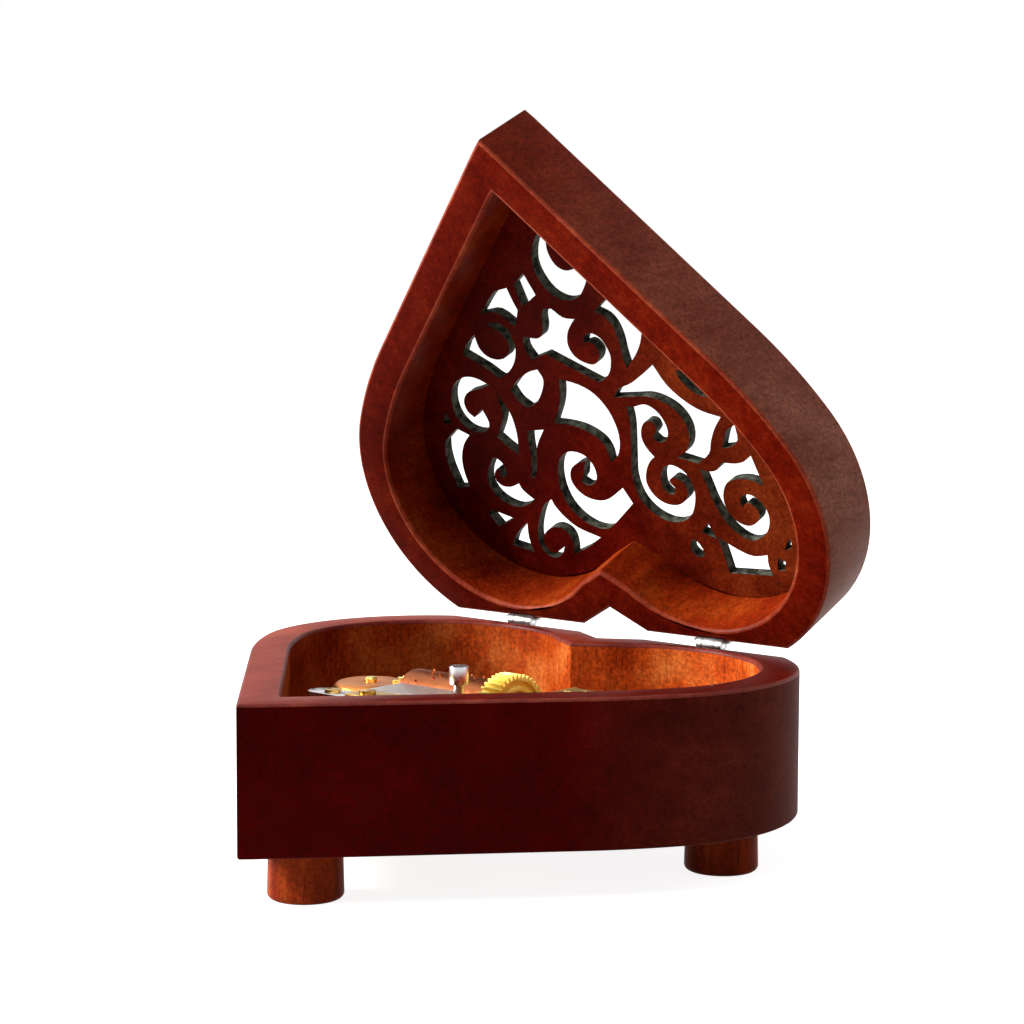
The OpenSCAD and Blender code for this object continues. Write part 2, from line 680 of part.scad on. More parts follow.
// One leaf: a plate on the flat back with its knuckles, s as above
module hinge_leaf(side, s) {
    middle = s < 0;
    bore = middle ? hinge_pin_d : hinge_pin_d + 2 * pin_play;
    clear = knuckle_d / 2 + knuckle_play;
    translate([side * hinge_x, 0, hinge_z])
        difference() {
            union() {
                difference() {
                    translate([-leaf_w / 2, back_y, s > 0 ? 0 : -leaf_h])
                        cube([leaf_w, leaf_t, leaf_h]);
                    // Room for the other leaf's knuckles
                    for (x = middle ? [-1, 1] : [0])
                        translate([middle ? x * knuckle_w / 2 +
                            (x < 0 ? -leaf_w : -knuckle_play)
                            : -knuckle_w / 2 - knuckle_play,
                            back_y - 1, -clear])
                            cube([middle ? leaf_w + knuckle_play
                                : knuckle_w + 2 * knuckle_play,
                                leaf_t + 2, 2 * clear]);
                }
                for (x = middle ? [0] : [-1, 1])
                    translate([middle ? 0
                        : x * (knuckle_w + outer_knuckle_w) / 2
                          + x * knuckle_play, hinge_y, 0])
                        rotate([0, 90, 0])
                            cylinder(d = knuckle_d, center = true,
                                h = middle ? knuckle_w : outer_knuckle_w);
            }
            translate([0, hinge_y, 0])
                rotate([0, 90, 0])
                    cylinder(d = bore, h = leaf_w + 1, center = true);
            for (p = leaf_screw_places(s))
                translate([p[0], back_y - eps, p[1]])
                    rotate([-90, 0, 0])
                        cylinder(d1 = hinge_screw_d,
                            d2 = hinge_screw_d + 2 * leaf_t + 0.1,
                            h = leaf_t + 2 * eps);
        }
}
module left_base_leaf() color("silver")
    hinge_leaf(-1, -1);
module right_base_leaf() color("silver")
    hinge_leaf(1, -1);
module left_lid_leaf() color("silver")
    lid_pose()
        hinge_leaf(-1, 1);
module right_lid_leaf() color("silver")
    lid_pose()
        hinge_leaf(1, 1);

module hinge_pin(side) {
    len = knuckle_w + 2 * (outer_knuckle_w + knuckle_play);
    translate([side * hinge_x, hinge_y, hinge_z])
        rotate([0, 90, 0])
            cylinder(d = hinge_pin_d, h = len, center = true);
}
module left_hinge_pin() color("gainsboro")
    hinge_pin(-1);
module right_hinge_pin() color("gainsboro")
    hinge_pin(1);

// Countersunk screws of both leaves on one side of the axis
module leaf_screws(s) {
    for (side = [-1, 1], p = leaf_screw_places(s))
        translate([side * hinge_x + p[0], back_y, hinge_z + p[1]]) {
            rotate([90, 0, 0])
                cylinder(d = hinge_screw_d, h = hinge_screw_len - 0.1);
            rotate([-90, 0, 0])
                cylinder(d1 = hinge_screw_d, d2 = hinge_screw_d + 2 * leaf_t,
                    h = leaf_t);
        }
}
module base_leaf_screws() color("silver")
    leaf_screws(-1);
module lid_leaf_screws() color("silver")
    lid_pose()
        leaf_screws(1);

// ---- Movement ----

// Rectangle with rounded corners
module round_rect(x0, y0, x1, y1, r) {
    translate([x0 + r, y0])
        square([x1 - x0 - 2 * r, y1 - y0]);
    translate([x0, y0 + r])
        square([x1 - x0, y1 - y0 - 2 * r]);
    for (x = [x0 + r, x1 - r], y = [y0 + r, y1 - r])
        translate([x, y])
            circle(r = r);
}

// Flat profile in the Y-Z plane, extruded along +X from x
module side_profile(x, t) {
    translate([x, 0, 0])
        rotate([90, 0, 90])
            linear_extrude(t)
                children();
}

module bed_plate() color([0.72, 0.60, 0.30])
    difference() {
        union() {
            translate([0, 0, floor_z])
                linear_extrude(bed_t) {
                    round_rect(bed_x0, comb_back_y - 1,
                        frame_x0 + frame_w + bed_past_frame,
                        worm_y + bed_past_worm, bed_corner);
                    translate([housing_x, housing_y])
                        circle(d = crown_d + 2 * bed_past_crown);
                    round_rect(side_foot_x0, side_foot_y0, feet_x1, side_foot_y1,
                        bed_corner);
                    round_rect(heel_foot_x0, heel_foot_y0, feet_x1, heel_foot_y1,
                        bed_corner);
                }
            // Seat of the winding arbor, hollow round the ratchet
            translate([housing_x, housing_y, bed_z - eps])
                cylinder(d = boss_d + 3, h = crown_top - crown_t - bed_z - 0.2);
            // Rail that carries the comb
            translate([comb_x0 - 1, comb_back_y, bed_z - eps])
                cube([rail_x1 - comb_x0 + 1, rail_w, comb_h - heel_t + eps]);
            // Left bearing of the drum's axle
            side_profile(post_x0, post_t) {
                translate([drum_y, axle_z])
                    circle(d = axle_d + 2.6);
                translate([drum_y - 2.1, bed_z - eps])
                    square([4.2, axle_z - bed_z]);
            }
            // Post for the strap of the spring housing
            translate([strap_x, strap_y, bed_z - eps])
                cylinder(d = 4.4, h = strap_top - strap_t - bed_z + eps);
        }
        translate([0, drum_y, axle_z])
            rotate([0, 90, 0])
                cylinder(d = axle_d + 2 * axle_play, h = 60, center = true);
        translate([housing_x, housing_y, floor_z - 1])
            cylinder(d = arbor_d + 2 * arbor_play, h = 20);
        // Open chamber of the ratchet, with its window to the front
        translate([housing_x, housing_y, bed_z])
            cylinder(r = ratchet_r + 0.4, h = ratchet_t + 0.7);
        translate([housing_x - 2, housing_y - boss_d, bed_z])
            cube([4, boss_d, ratchet_t + 0.7]);
        for (p = bed_screw_places())
            translate([p[0], p[1], floor_z - eps])
                cylinder(d = movement_screw_d, h = movement_bite);
        for (p = comb_screw_places)
            translate([p[0], p[1], comb_top - heel_t - 4])
                cylinder(d = comb_screw_d, h = 5);
        for (p = governor_screw_places)
            translate([p[0], p[1], floor_z - eps])
                cylinder(d = governor_screw_d, h = bed_t + 1);
        translate([pillar_x, pillar_y, floor_z - eps])
            cylinder(d = pillar_stem_d, h = bed_t + 1);
        translate([strap_x, strap_y, strap_top - strap_t - strap_screw_bite - 0.8])
            cylinder(d = strap_screw_d, h = strap_screw_bite + strap_t + 0.8);
    }

module movement_screws() color([0.75, 0.70, 0.55])
    for (p = bed_screw_places())
        translate([p[0], p[1], board_z + movement_sink - movement_head_h])
            pan_screw(movement_screw_d, movement_head_d, movement_head_h,
                board_t - movement_sink + movement_bite - 0.2);

// Pins of the tune: a stepped pattern that no two tracks share
function pins_of(track) = 3 + (track * 5) % 4;
function pin_angle(track, k) =
    (track * 137 + k * 360 / pins_of(track) + (k * k * 31) % 40) % 360;

module drum() color([0.80, 0.80, 0.82])
    translate([drum_x0, drum_y, axle_z])
        rotate([0, 90, 0])
            difference() {
                union() {
                    cylinder(r = drum_r, h = drum_len);
                    for (track = [0:notes - 1])
                        for (k = [0:pins_of(track) - 1])
                            rotate([0, 0, pin_angle(track, k)])
                                translate([drum_r - 0.3, 0, comb_x0 - drum_x0
                                    + (track + 0.5) * note_pitch])
                                    rotate([0, 90, 0])
                                        cylinder(d = pin_d, h = pin_h + 0.3,
                                            $fn = 16);
                }
                translate([0, 0, -1])
                    cylinder(d = axle_d, h = drum_len + 2);
                // Bored-out inside
                translate([0, 0, 1])
                    cylinder(r = drum_r - 1, h = drum_len - 2);
            }

// Spur teeth: a round blank and one trapezoid per tooth
module spur(teeth, root_r, tip_r, t) {
    pitch_a = 360 / teeth;
    linear_extrude(t) {
        circle(r = root_r);
        for (k = [0:teeth - 1])
            rotate(k * pitch_a)
                polygon([[root_r * cos(pitch_a * 0.3) - 0.05,
                    -root_r * sin(pitch_a * 0.3)],
                    [tip_r, -tip_r * sin(pitch_a * 0.16)],
                    [tip_r, tip_r * sin(pitch_a * 0.16)],
                    [root_r * cos(pitch_a * 0.3) - 0.05,
                    root_r * sin(pitch_a * 0.3)]]);
    }
}

// Large moulded gear with stepped rings on its outer face
module drum_gear() color([0.93, 0.74, 0.15])
    translate([gear_x0, drum_y, axle_z])
        rotate([0, 90, 0])
            difference() {
                union() {
                    spur(gear_teeth, gear_pitch_r - 1.1 * gear_m, gear_d / 2,
                        gear_t);
                    translate([0, 0, gear_t - eps])
                        cylinder(d = axle_d + 2.6, h = 0.4);
                }
                translate([0, 0, gear_t - 0.5])
                    rotate_extrude()
                        translate([gear_d * 0.36, 0])
                            square([gear_d * 0.065, 1]);
                translate([0, 0, gear_t - 0.9])
                    rotate_extrude()
                        translate([gear_d * 0.16, 0])
                            square([gear_d * 0.15, 1.5]);
                translate([0, 0, -1])
                    cylinder(d = axle_d, h = gear_t + 3);
            }

module drum_pinion() color([0.85, 0.68, 0.30])
    translate([pinion_x0, drum_y, axle_z])
        rotate([0, 90, 0])
            difference() {
                rotate(180 / pinion_teeth)
                    spur(pinion_teeth, pinion_r - crown_m, pinion_r + tooth_high
                        * 0.8, crown_face);
                translate([0, 0, -1])
                    cylinder(d = axle_d, h = crown_face + 2);
            }

module drum_axle() color([0.75, 0.75, 0.78])
    translate([pinion_x0, drum_y, axle_z])
        rotate([0, 90, 0])
            cylinder(d = axle_d, h = frame_x0 + frame_t + 0.5 - pinion_x0);

module comb() color([0.88, 0.88, 0.90])
    difference() {
        union() {
            translate([comb_x0, comb_back_y + 0.2, comb_top - heel_t])
                cube([comb_w, comb_heel_y - comb_back_y - 0.2, heel_t]);
            translate([comb_x0, comb_heel_y - eps, comb_top - tooth_t])
                cube([comb_w, comb_tip_y - comb_heel_y + eps, tooth_t]);
        }
        // Slots between the teeth: the lowest notes have the longest teeth
        for (k = [1:notes - 1])
            translate([comb_x0 + k * note_pitch - tooth_gap / 2,
                comb_heel_y - 0.8 + 3.2 * k / notes, comb_top - heel_t - 1])
                cube([tooth_gap, 20, heel_t + 2]);
        for (p = comb_screw_places)
            translate([p[0], p[1], comb_top - heel_t - 1])
                cylinder(d = comb_screw_d + 0.2, h = heel_t + 2);
    }

// Slotted screw from above: its head on top of its shank
module top_screw(shank_d, head_d, head_h, len) {
    difference() {
        cylinder(d = head_d, h = head_h);
        translate([0, 0, head_h])
            cube([head_d + 1, head_d / 7, head_h], center = true);
    }
    translate([0, 0, -len])
        cylinder(d = shank_d, h = len + eps);
}
module comb_screws() color([0.80, 0.78, 0.70])
    for (p = comb_screw_places)
        translate([p[0], p[1], comb_top])
            top_screw(comb_screw_d, 3, 0.6, heel_t + 3.6);

// ---- Spring housing and winding ----

module spring_housing() color([0.85, 0.65, 0.25])
    translate([housing_x, housing_y, crown_top])
        rotate_extrude($fn = 96)
            difference() {
                housing_section(housing_d / 2, housing_h, 1.6);
                translate([0, -eps])
                    housing_section(housing_d / 2 - housing_wall,
                        housing_h - housing_wall + eps, 1.2);
                square([arbor_d / 2 * 0.75 + arbor_play + 0.1, housing_h + 1]);
            }

// Half section of a drawn cup with a rounded top edge
module housing_section(r, h, edge) {
    square([r, h - edge]);
    square([r - edge, h]);
    translate([r - edge, h - edge])
        circle(r = edge);
}

module crown_wheel() color([0.80, 0.62, 0.25])
    translate([housing_x, housing_y, crown_top - crown_t])
        difference() {
            union() {
                cylinder(d = crown_d, h = crown_t);
                for (k = [0:crown_teeth - 1])
                    rotate([0, 0, k * 360 / crown_teeth])
                        crown_tooth();
            }
            translate([0, 0, -1])
                cylinder(d = arbor_d + 2 * arbor_play, h = crown_t + 2);
        }

// One tooth of the crown wheel, narrower towards its top
module crown_tooth() {
    w = 2 * PI * crown_r / crown_teeth;
    translate([crown_d / 2 - crown_face, 0, 0])
        rotate([90, 0, 90])
            linear_extrude(crown_face - 0.1)
                polygon([[-w * 0.26, crown_t - 0.1], [w * 0.26, crown_t - 0.1],
                    [w * 0.12, crown_t + crown_m * 1.6],
                    [-w * 0.12, crown_t + crown_m * 1.6]]);
}

// Flat steel strip wound in an even spiral inside the housing
function mix(a, b, t) = a + (b - a) * t;
module mainspring() color([0.35, 0.38, 0.45])
    translate([housing_x, housing_y, crown_top + 0.3]) {
        r_in = arbor_d / 2 + 0.25;
        r_out = housing_d / 2 - housing_wall - 0.3;
        strip = 0.22;
        steps = 24 * spring_turns;
        linear_extrude(housing_h - housing_wall - 0.9)
            polygon(concat(
                [for (i = [0:steps]) mix(r_in, r_out, i / steps)
                    * unit(i * 15)],
                [for (i = [steps:-1:0]) (mix(r_in, r_out, i / steps) + strip)
                    * unit(i * 15)]));
    }

module winding_arbor() color([0.78, 0.76, 0.70])
    translate([housing_x, housing_y, 0])
        rotate_extrude()
            polygon([[0, key_floor + key_h + key_gap - arbor_grip],
                [arbor_d / 2, key_floor + key_h + key_gap - arbor_grip],
                [arbor_d / 2, housing_top - housing_wall - 0.3],
                [arbor_d / 2 * 0.75, housing_top - housing_wall - 0.3],
                [arbor_d / 2 * 0.75, housing_top + 0.5],
                [arbor_d / 2 * 0.75 - 0.3, housing_top + 0.8],
                [0, housing_top + 0.8]]);

module ratchet_wheel() color([0.70, 0.70, 0.72])
    translate([housing_x, housing_y, ratchet_z])
        linear_extrude(ratchet_t)
            difference() {
                polygon([for (k = [1:ratchet_teeth],
                    r = [ratchet_r - ratchet_depth, ratchet_r])
                    r * unit(k * 360 / ratchet_teeth)]);
                circle(d = arbor_d);
            }

// Spring click that rests in the ratchet's window
module ratchet_click() color([0.70, 0.70, 0.72])
    translate([housing_x, housing_y, ratchet_z]) {
        linear_extrude(ratchet_t) {
            translate([-click_w / 2, -ratchet_r - click_len])
                square([click_w, click_len - 0.2]);
            translate([-click_w / 2, -ratchet_r - click_len - click_foot[1]])
                square(click_foot);
        }
        translate([click_foot[0] - click_stud_d,
            -ratchet_r - click_len - click_foot[1] / 2, -0.3])
            cylinder(d = click_stud_d, h = ratchet_t + 0.9);
    }

// Butterfly key: a threaded hub with two flat wings
module winding_key() color([0.80, 0.78, 0.72])
    translate([housing_x, housing_y, key_floor])
        difference() {
            union() {
                translate([0, 0, key_h - key_hub_h])
                    cylinder(d = arbor_d + 2 * key_hub_wall, h = key_hub_h + key_gap);
                rotate([90, 0, 0])
                    linear_extrude(key_t, center = true)
                        for (s = [-1, 1])
                            translate([s * (key_w / 2 - key_h / 2), key_h / 2])
                                difference() {
                                    union() {
                                        circle(d = key_h);
                                        translate([s > 0 ? -key_w / 2 + key_h / 2
                                            : 0, -key_h * key_neck / 2])
                                            square([key_w / 2 - key_h / 2,
                                                key_h * key_neck]);
                                    }
                                    circle(d = key_h * key_eye);
                                }
            }
            translate([0, 0, key_h + key_gap - arbor_grip])
                cylinder(d = arbor_d, h = 5);
        }

// Bent steel strap that keeps the crown wheel down on its seat
module housing_strap() color([0.92, 0.92, 0.94])
    difference() {
        union() {
            translate([0, 0, strap_top - strap_t])
                linear_extrude(strap_t) {
                    translate([strap_x - 2.6, strap_y])
                        circle(r = 2.6);
                    translate([strap_x - 2.6, strap_y - 2.6])
                        square([8, 5.2]);
                }
            side_profile(strap_x - 1.6, 6.4)
                polygon([[strap_y + 2.1, strap_top],
                    [strap_y + 2.6, strap_top],
                    [strap_y + 3.1, crown_z + 1.9],
                    [strap_y + 5.2, crown_z + 1.9],
                    [strap_y + 5.2, crown_z + 1.1],
                    [strap_y + 2.3, crown_z + 1.1],
                    [strap_y + 2.1, strap_top - strap_t]]);
        }
        translate([strap_x, strap_y, strap_top - 5])
            cylinder(d = strap_screw_d + 0.2, h = 10);
    }
module strap_screw() color([0.80, 0.78, 0.70])
    translate([strap_x, strap_y, strap_top])
        top_screw(strap_screw_d, 3, 0.5, strap_t + strap_screw_bite);

// ---- Governor ----

module governor_frame() color([0.82, 0.82, 0.84])
    difference() {
        union() {
            // Inner cheek: drum axle, worm wheel and the top arm
            side_profile(frame_x0, frame_t) {
                translate([drum_y, axle_z])
                    circle(d = axle_d + 4.4);
                translate([drum_y - 3, bed_z])
                    square([6, axle_z - bed_z]);
                translate([drum_y, bed_z])
                    square([worm_y + 2.4 - drum_y, arm_z + 1 - bed_z]);
            }
            // Outer cheek
            side_profile(frame_x0 + frame_w - frame_t, frame_t) {
                translate([train_y, train_z])
                    circle(d = 4);
                translate([train_y - 2, bed_z])
                    square([4, train_z - bed_z]);
            }
            // Foot plate and top arm
            translate([frame_x0, train_y - 7, bed_z])
                cube([frame_w, worm_y + 2.4 - train_y + 7, foot_t]);
            translate([frame_x0, worm_y - 1.8, arm_z])
                cube([frame_w / 2 + 1.8, 3.6, 1]);
        }
        translate([frame_x0 - 1, drum_y, axle_z])
            rotate([0, 90, 0])
                cylinder(d = axle_d + 2 * axle_play, h = frame_t + 2);
        translate([frame_x0 - 1, train_y, train_z])
            rotate([0, 90, 0])
                cylinder(d = governor_axle_d + 2 * axle_play, h = frame_w + 2);
        translate([worm_x, worm_y, bed_z - 1])
            cylinder(d = worm_axle_d + 2 * axle_play, h = 30);
        for (p = governor_screw_places)
            translate([p[0], p[1], bed_z - 1])
                cylinder(d = governor_screw_d + 0.2, h = 3);
    }

module governor_screws() color([0.80, 0.78, 0.70])
    for (p = governor_screw_places)
        translate([p[0], p[1], bed_z + foot_t])
            top_screw(governor_screw_d, 3, 0.9, bed_t + 0.6);

// Small pinion that the drum gear drives, inside the governor's frame
module governor_pinion() color([0.80, 0.80, 0.83])
    translate([gear_x0 + 0.3, train_y, train_z])
        rotate([0, 90, 0])
            difference() {
                rotate(train_pinion_turn)
                    spur(train_pinion_teeth, train_pinion_r - gear_m * 0.9,
                        train_pinion_r + gear_m * 0.75, gear_t - 0.2);
                translate([0, 0, -1])
                    cylinder(d = governor_axle_d, h = gear_t + 2);
            }

// Worm wheel with its hub
module governor_wheel() color([0.93, 0.74, 0.15])
    translate([0, train_y, train_z])
        rotate([0, 90, 0])
            difference() {
                union() {
                    translate([0, 0, worm_x - 1.2])
                        spur(worm_wheel_teeth, worm_wheel_r - 0.45,
                            worm_wheel_r, 2.4);
                    translate([0, 0, frame_x0 + frame_t + side_play])
                        cylinder(d = governor_axle_d + 1.2,
                            h = worm_x - frame_x0 - frame_t - 0.5);
                }
                translate([0, 0, gear_x0 - 1])
                    cylinder(d = governor_axle_d, h = 20);
            }

module governor_arbor() color([0.75, 0.75, 0.78])
    translate([gear_x0 + 0.3, train_y, train_z])
        rotate([0, 90, 0])
            cylinder(d = governor_axle_d, h = frame_x0 + frame_w - gear_x0);

// Single right-hand thread; its ring holds half heights at root and crest
module thread() {
    ring = [[worm_core_r - 0.1, -0.2], [worm_r, -0.1], [worm_r, 0.1],
        [worm_core_r - 0.1, 0.2]];
    steps = 20 * worm_turns;
    points = [for (i = [0:steps], p = ring)
        let(a = 18 * i)
        [p[0] * cos(a), p[0] * sin(a), (i / 20) * worm_pitch + p[1]]];
    sides = [for (i = [0:steps - 1], k = [0:3])
        let(a = 4 * i + k, b = 4 * i + (k + 1) % 4)
        [a, b, b + 4, a + 4]];
    polyhedron(points, concat([[3, 2, 1, 0]], sides,
        [[for (k = [0:3]) 4 * steps + k]]), convexity = 10);
}
module worm_shaft() color([0.80, 0.80, 0.83])
    translate([worm_x, worm_y, 0]) {
        translate([0, 0, bed_z + 0.2])
            cylinder(d = worm_axle_d, h = arm_z + 0.8 - bed_z - 0.2);
        translate([0, 0, train_z - (worm_turns + 1) / 2 * worm_pitch])
            cylinder(r = worm_core_r, h = (worm_turns + 1) * worm_pitch);
        // A groove of the thread faces the wheel's nearest tooth
        translate([0, 0, train_z - (worm_turns / 2 + 0.25) * worm_pitch])
            thread();
    }

// Air brake: a hub with two thin blades
module air_fly() color([0.86, 0.86, 0.88])
    translate([worm_x, worm_y, bed_z + 1.3])
        difference() {
            union() {
                cylinder(d = worm_axle_d + 1.2, h = fly_h);
                translate([-fly_w / 2, -0.2, 0])
                    cube([fly_w, 0.4, fly_h]);
            }
            translate([0, 0, -1])
                cylinder(d = worm_axle_d, h = fly_h + 2);
        }

// Bright-capped pillar beside the comb
module stop_pillar() color([0.90, 0.90, 0.92])
    translate([pillar_x, pillar_y, 0]) {
        translate([0, 0, floor_z + 0.3])
            cylinder(d = pillar_stem_d, h = pillar_top - 1 - floor_z);
        translate([0, 0, pillar_top - pillar_cap_h])
            cylinder(d = pillar_cap_d, h = pillar_cap_h);
    }

base_case();
bottom_board();
front_foot();
left_rear_foot();
right_rear_foot();
foot_screws();
lid_frame();
fret_panel();
left_base_leaf();
right_base_leaf();
left_lid_leaf();
right_lid_leaf();
left_hinge_pin();
right_hinge_pin();
base_leaf_screws();
lid_leaf_screws();
bed_plate();
movement_screws();
drum();
drum_gear();
drum_pinion();
drum_axle();
comb();
comb_screws();
spring_housing();
crown_wheel();
mainspring();
winding_arbor();
ratchet_wheel();
ratchet_click();
winding_key();
housing_strap();
strap_screw();
governor_frame();
governor_screws();
governor_pinion();
governor_wheel();
governor_arbor();
worm_shaft();
air_fly();
stop_pillar();
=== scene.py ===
# Heart-shaped wind-up music box: wood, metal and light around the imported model.
import json
import math

import bmesh
import bpy
from mathutils import Matrix, Vector

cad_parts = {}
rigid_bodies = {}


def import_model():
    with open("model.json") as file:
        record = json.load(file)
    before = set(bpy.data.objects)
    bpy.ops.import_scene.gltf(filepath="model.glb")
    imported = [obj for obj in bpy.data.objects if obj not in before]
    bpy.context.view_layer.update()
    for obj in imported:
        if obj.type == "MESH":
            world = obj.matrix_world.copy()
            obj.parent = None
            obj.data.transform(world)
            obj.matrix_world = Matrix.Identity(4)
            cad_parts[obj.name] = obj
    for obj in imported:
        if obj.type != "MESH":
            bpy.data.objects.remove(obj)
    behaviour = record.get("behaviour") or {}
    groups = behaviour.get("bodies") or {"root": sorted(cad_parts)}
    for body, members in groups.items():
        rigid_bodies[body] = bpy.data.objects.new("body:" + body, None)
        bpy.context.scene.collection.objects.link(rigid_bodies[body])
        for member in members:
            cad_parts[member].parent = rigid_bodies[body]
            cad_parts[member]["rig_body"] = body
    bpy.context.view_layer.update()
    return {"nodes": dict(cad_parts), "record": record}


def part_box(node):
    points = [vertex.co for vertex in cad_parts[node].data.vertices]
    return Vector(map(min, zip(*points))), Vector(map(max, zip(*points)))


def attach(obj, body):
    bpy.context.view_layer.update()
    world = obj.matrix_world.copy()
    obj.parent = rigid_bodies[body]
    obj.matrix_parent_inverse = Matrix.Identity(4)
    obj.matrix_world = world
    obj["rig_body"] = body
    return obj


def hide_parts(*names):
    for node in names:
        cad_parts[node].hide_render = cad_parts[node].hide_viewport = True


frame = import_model()

MM = 0.001

# ---- Driving dimensions of the wooden heart, in millimetres and degrees ----
# The lobes' centres lie on the X axis and the tip points to -Y.
CASE_W = 110           # width over both lobes
LOBE_R = 31.87         # radius of a lobe
TIP_Y = 73.9           # tip, in front of the lobes' centres
SIDE_R = 83            # radius of the long curve between a straight side and its lobe
SIDE_TURN = 13.3       # angle that the long curve turns through
BACK_Y = 27.1          # flat backs, behind the lobes' centres
NOTCH_Y = 22.6         # bottom of the notch between the lobes
NOTCH_W = 7.75         # half width of the notch where it meets the flat backs
BASE_WALL = 7.2        # wall of the base around its cavity
BOARD_LEDGE = 3.6      # wall around the rebate of the bottom board
LID_H = 14.8           # height of the lid frame
LID_WALL = 7           # wall of the lid around its recess
PANEL_T = 2.2          # thickness of the fretwork panel
PANEL_LAP = 2.8        # how far the panel lies on the wall
PANEL_SINK = 0.4       # how far the panel lies below the lid's top
REBATE_BACK = 1.4      # wall left behind board and panel at the flat backs
LID_GAP = 1            # gap between base and closed lid
LID_OPEN = 66          # angle that the lid is drawn at
EDGE_R = 0.55          # rounding of the outer edges
INNER_EDGE_R = 0.7     # rounding of the edges of the cavity and of the recess
TIP_EASE = 0.175       # how far the sharp tip is drawn in
RELIEF_R = 1.45        # radius of the hollow that a hinge knuckle turns in
RELIEF_PAST = 0.6      # how much longer than the hinge pin that hollow is

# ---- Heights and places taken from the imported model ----
RIM_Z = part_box("base_case")[1].z / MM
BASE_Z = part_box("base_case")[0].z / MM
FLOOR_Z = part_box("bottom_board")[1].z / MM
LID_Z = RIM_Z + LID_GAP
HINGE_Z = RIM_Z + LID_GAP / 2
HINGE_Y = (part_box("left_hinge_pin")[0].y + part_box("left_hinge_pin")[1].y) / 2 / MM

# ---- Points along each stretch of half a heart, and over a rounded edge ----
STRAIGHT_N = 26
CURVE_N = 14
LOBE_N = 56
FLAT_N = 16
NOTCH_N = 7
EDGE_N = 4

# ---- Search for the lean of the straight sides, in degrees ----
LEAN_RANGE = (30, 65)
HALVINGS = 40


# ---- Plane geometry of the heart ----

def unit(angle):
    """Unit vector at an angle in degrees."""
    a = math.radians(angle)
    return Vector((math.cos(a), math.sin(a)))


LOBE = Vector((CASE_W / 2 - LOBE_R, 0))
NOTCH_A = math.degrees(math.atan((BACK_Y - NOTCH_Y) / NOTCH_W))


def side_centre(lean):
    """Centre of the long curve for a straight side that leans by this angle."""
    return LOBE - (SIDE_R - LOBE_R) * unit(lean - 90 + SIDE_TURN)


def side_lean():
    """Lean at which the straight side ends on the tip, by halving a range."""
    def miss(lean):
        return (Vector((0, -TIP_Y)) - side_centre(lean)).dot(unit(lean - 90)) - SIDE_R
    low, high = LEAN_RANGE
    for _ in range(HALVINGS):
        mid = (low + high) / 2
        if miss(low) * miss(mid) <= 0:
            high = mid
        else:
            low = mid
    return (low + high) / 2


LEAN = side_lean()
SIDE_C = side_centre(LEAN)
JOIN_A = LEAN - 90 + SIDE_TURN


def steps(a, b, count):
    """count values from a up to, and without, b."""
    return [a + (b - a) * i / count for i in range(count)]


def both_halves(right):
    """A whole closed loop from the right half, which runs from tip to notch."""
    left = [Vector((-p.x, p.y)) for p in reversed(right[1:-1])]
    return right + left


def half_side(inset):
    """Eased tip, straight side and long curve of the right half."""
    tip = Vector((0, -TIP_Y + inset / math.cos(math.radians(LEAN))))
    end = SIDE_C + unit(LEAN - 90) * (SIDE_R - inset)
    points = [tip.lerp(end, t) for t in steps(0, 1, STRAIGHT_N)]
    points[0] = tip + Vector((0, TIP_EASE))
    points += [SIDE_C + unit(a) * (SIDE_R - inset)
               for a in steps(LEAN - 90, JOIN_A, CURVE_N)]
    return points


def notch_apex(inset):
    """Bottom of the notch."""
    return Vector((0, NOTCH_Y - inset / math.cos(math.radians(NOTCH_A))))


def heart_loop(inset, back_inset=None):
    """Outline with the flat backs and the straight-sided notch."""
    back = BACK_Y - (inset if back_inset is None else back_inset)
    r = LOBE_R - inset
    corner = math.degrees(math.asin(back / r))
    apex = notch_apex(inset)
    run = (back - apex.y) / math.tan(math.radians(NOTCH_A))
    flat_from = LOBE + unit(corner) * r
    flat_to = Vector((run, back))
    points = half_side(inset)
    points += [LOBE + unit(a) * r for a in steps(JOIN_A, corner, LOBE_N)]
    points += [flat_from.lerp(flat_to, t) for t in steps(0, 1, FLAT_N)]
    points += [flat_to.lerp(apex, t) for t in steps(0, 1, NOTCH_N)]
    return both_halves(points + [apex])


def round_loop(inset):
    """Outline of a cavity: the lobes run round to the notch."""
    r = LOBE_R - inset
    apex = notch_apex(inset)
    along = unit(NOTCH_A)
    foot = apex + along * (LOBE - apex).dot(along)
    half_chord = math.sqrt(r * r - (foot - LOBE).length_squared)
    meet = foot - along * half_chord
    meet_a = math.degrees(math.atan2(meet.y - LOBE.y, meet.x - LOBE.x))
    points = half_side(inset)
    points += [LOBE + unit(a) * r for a in steps(JOIN_A, meet_a, LOBE_N + FLAT_N)]
    points += [meet.lerp(apex, t) for t in steps(0, 1, NOTCH_N)]
    return both_halves(points + [apex])


def round_steps(radius):
    """(inset, drop) pairs over a rounded edge, from the side to the face."""
    turns = [math.pi / 2 * i / EDGE_N for i in range(EDGE_N + 1)]
    return [(radius * (1 - math.cos(a)), radius * (1 - math.sin(a))) for a in turns]


def lid_matrix():
    """Turns a closed lid to the angle that it is drawn at."""
    hinge = Vector((0, HINGE_Y, HINGE_Z))
    return (Matrix.Translation(hinge)
            @ Matrix.Rotation(math.radians(-LID_OPEN), 4, "X")
            @ Matrix.Translation(-hinge))


# ---- Material helpers ----

WHITE = (1, 1, 1, 1)
MIX_FACTOR, MIX_A, MIX_B, MIX_RESULT = 0, 6, 7, 2    # sockets of a colour mix
NOISE_LOW, NOISE_MID, NOISE_HIGH = 0.3, 0.5, 0.7     # where most of a noise lies


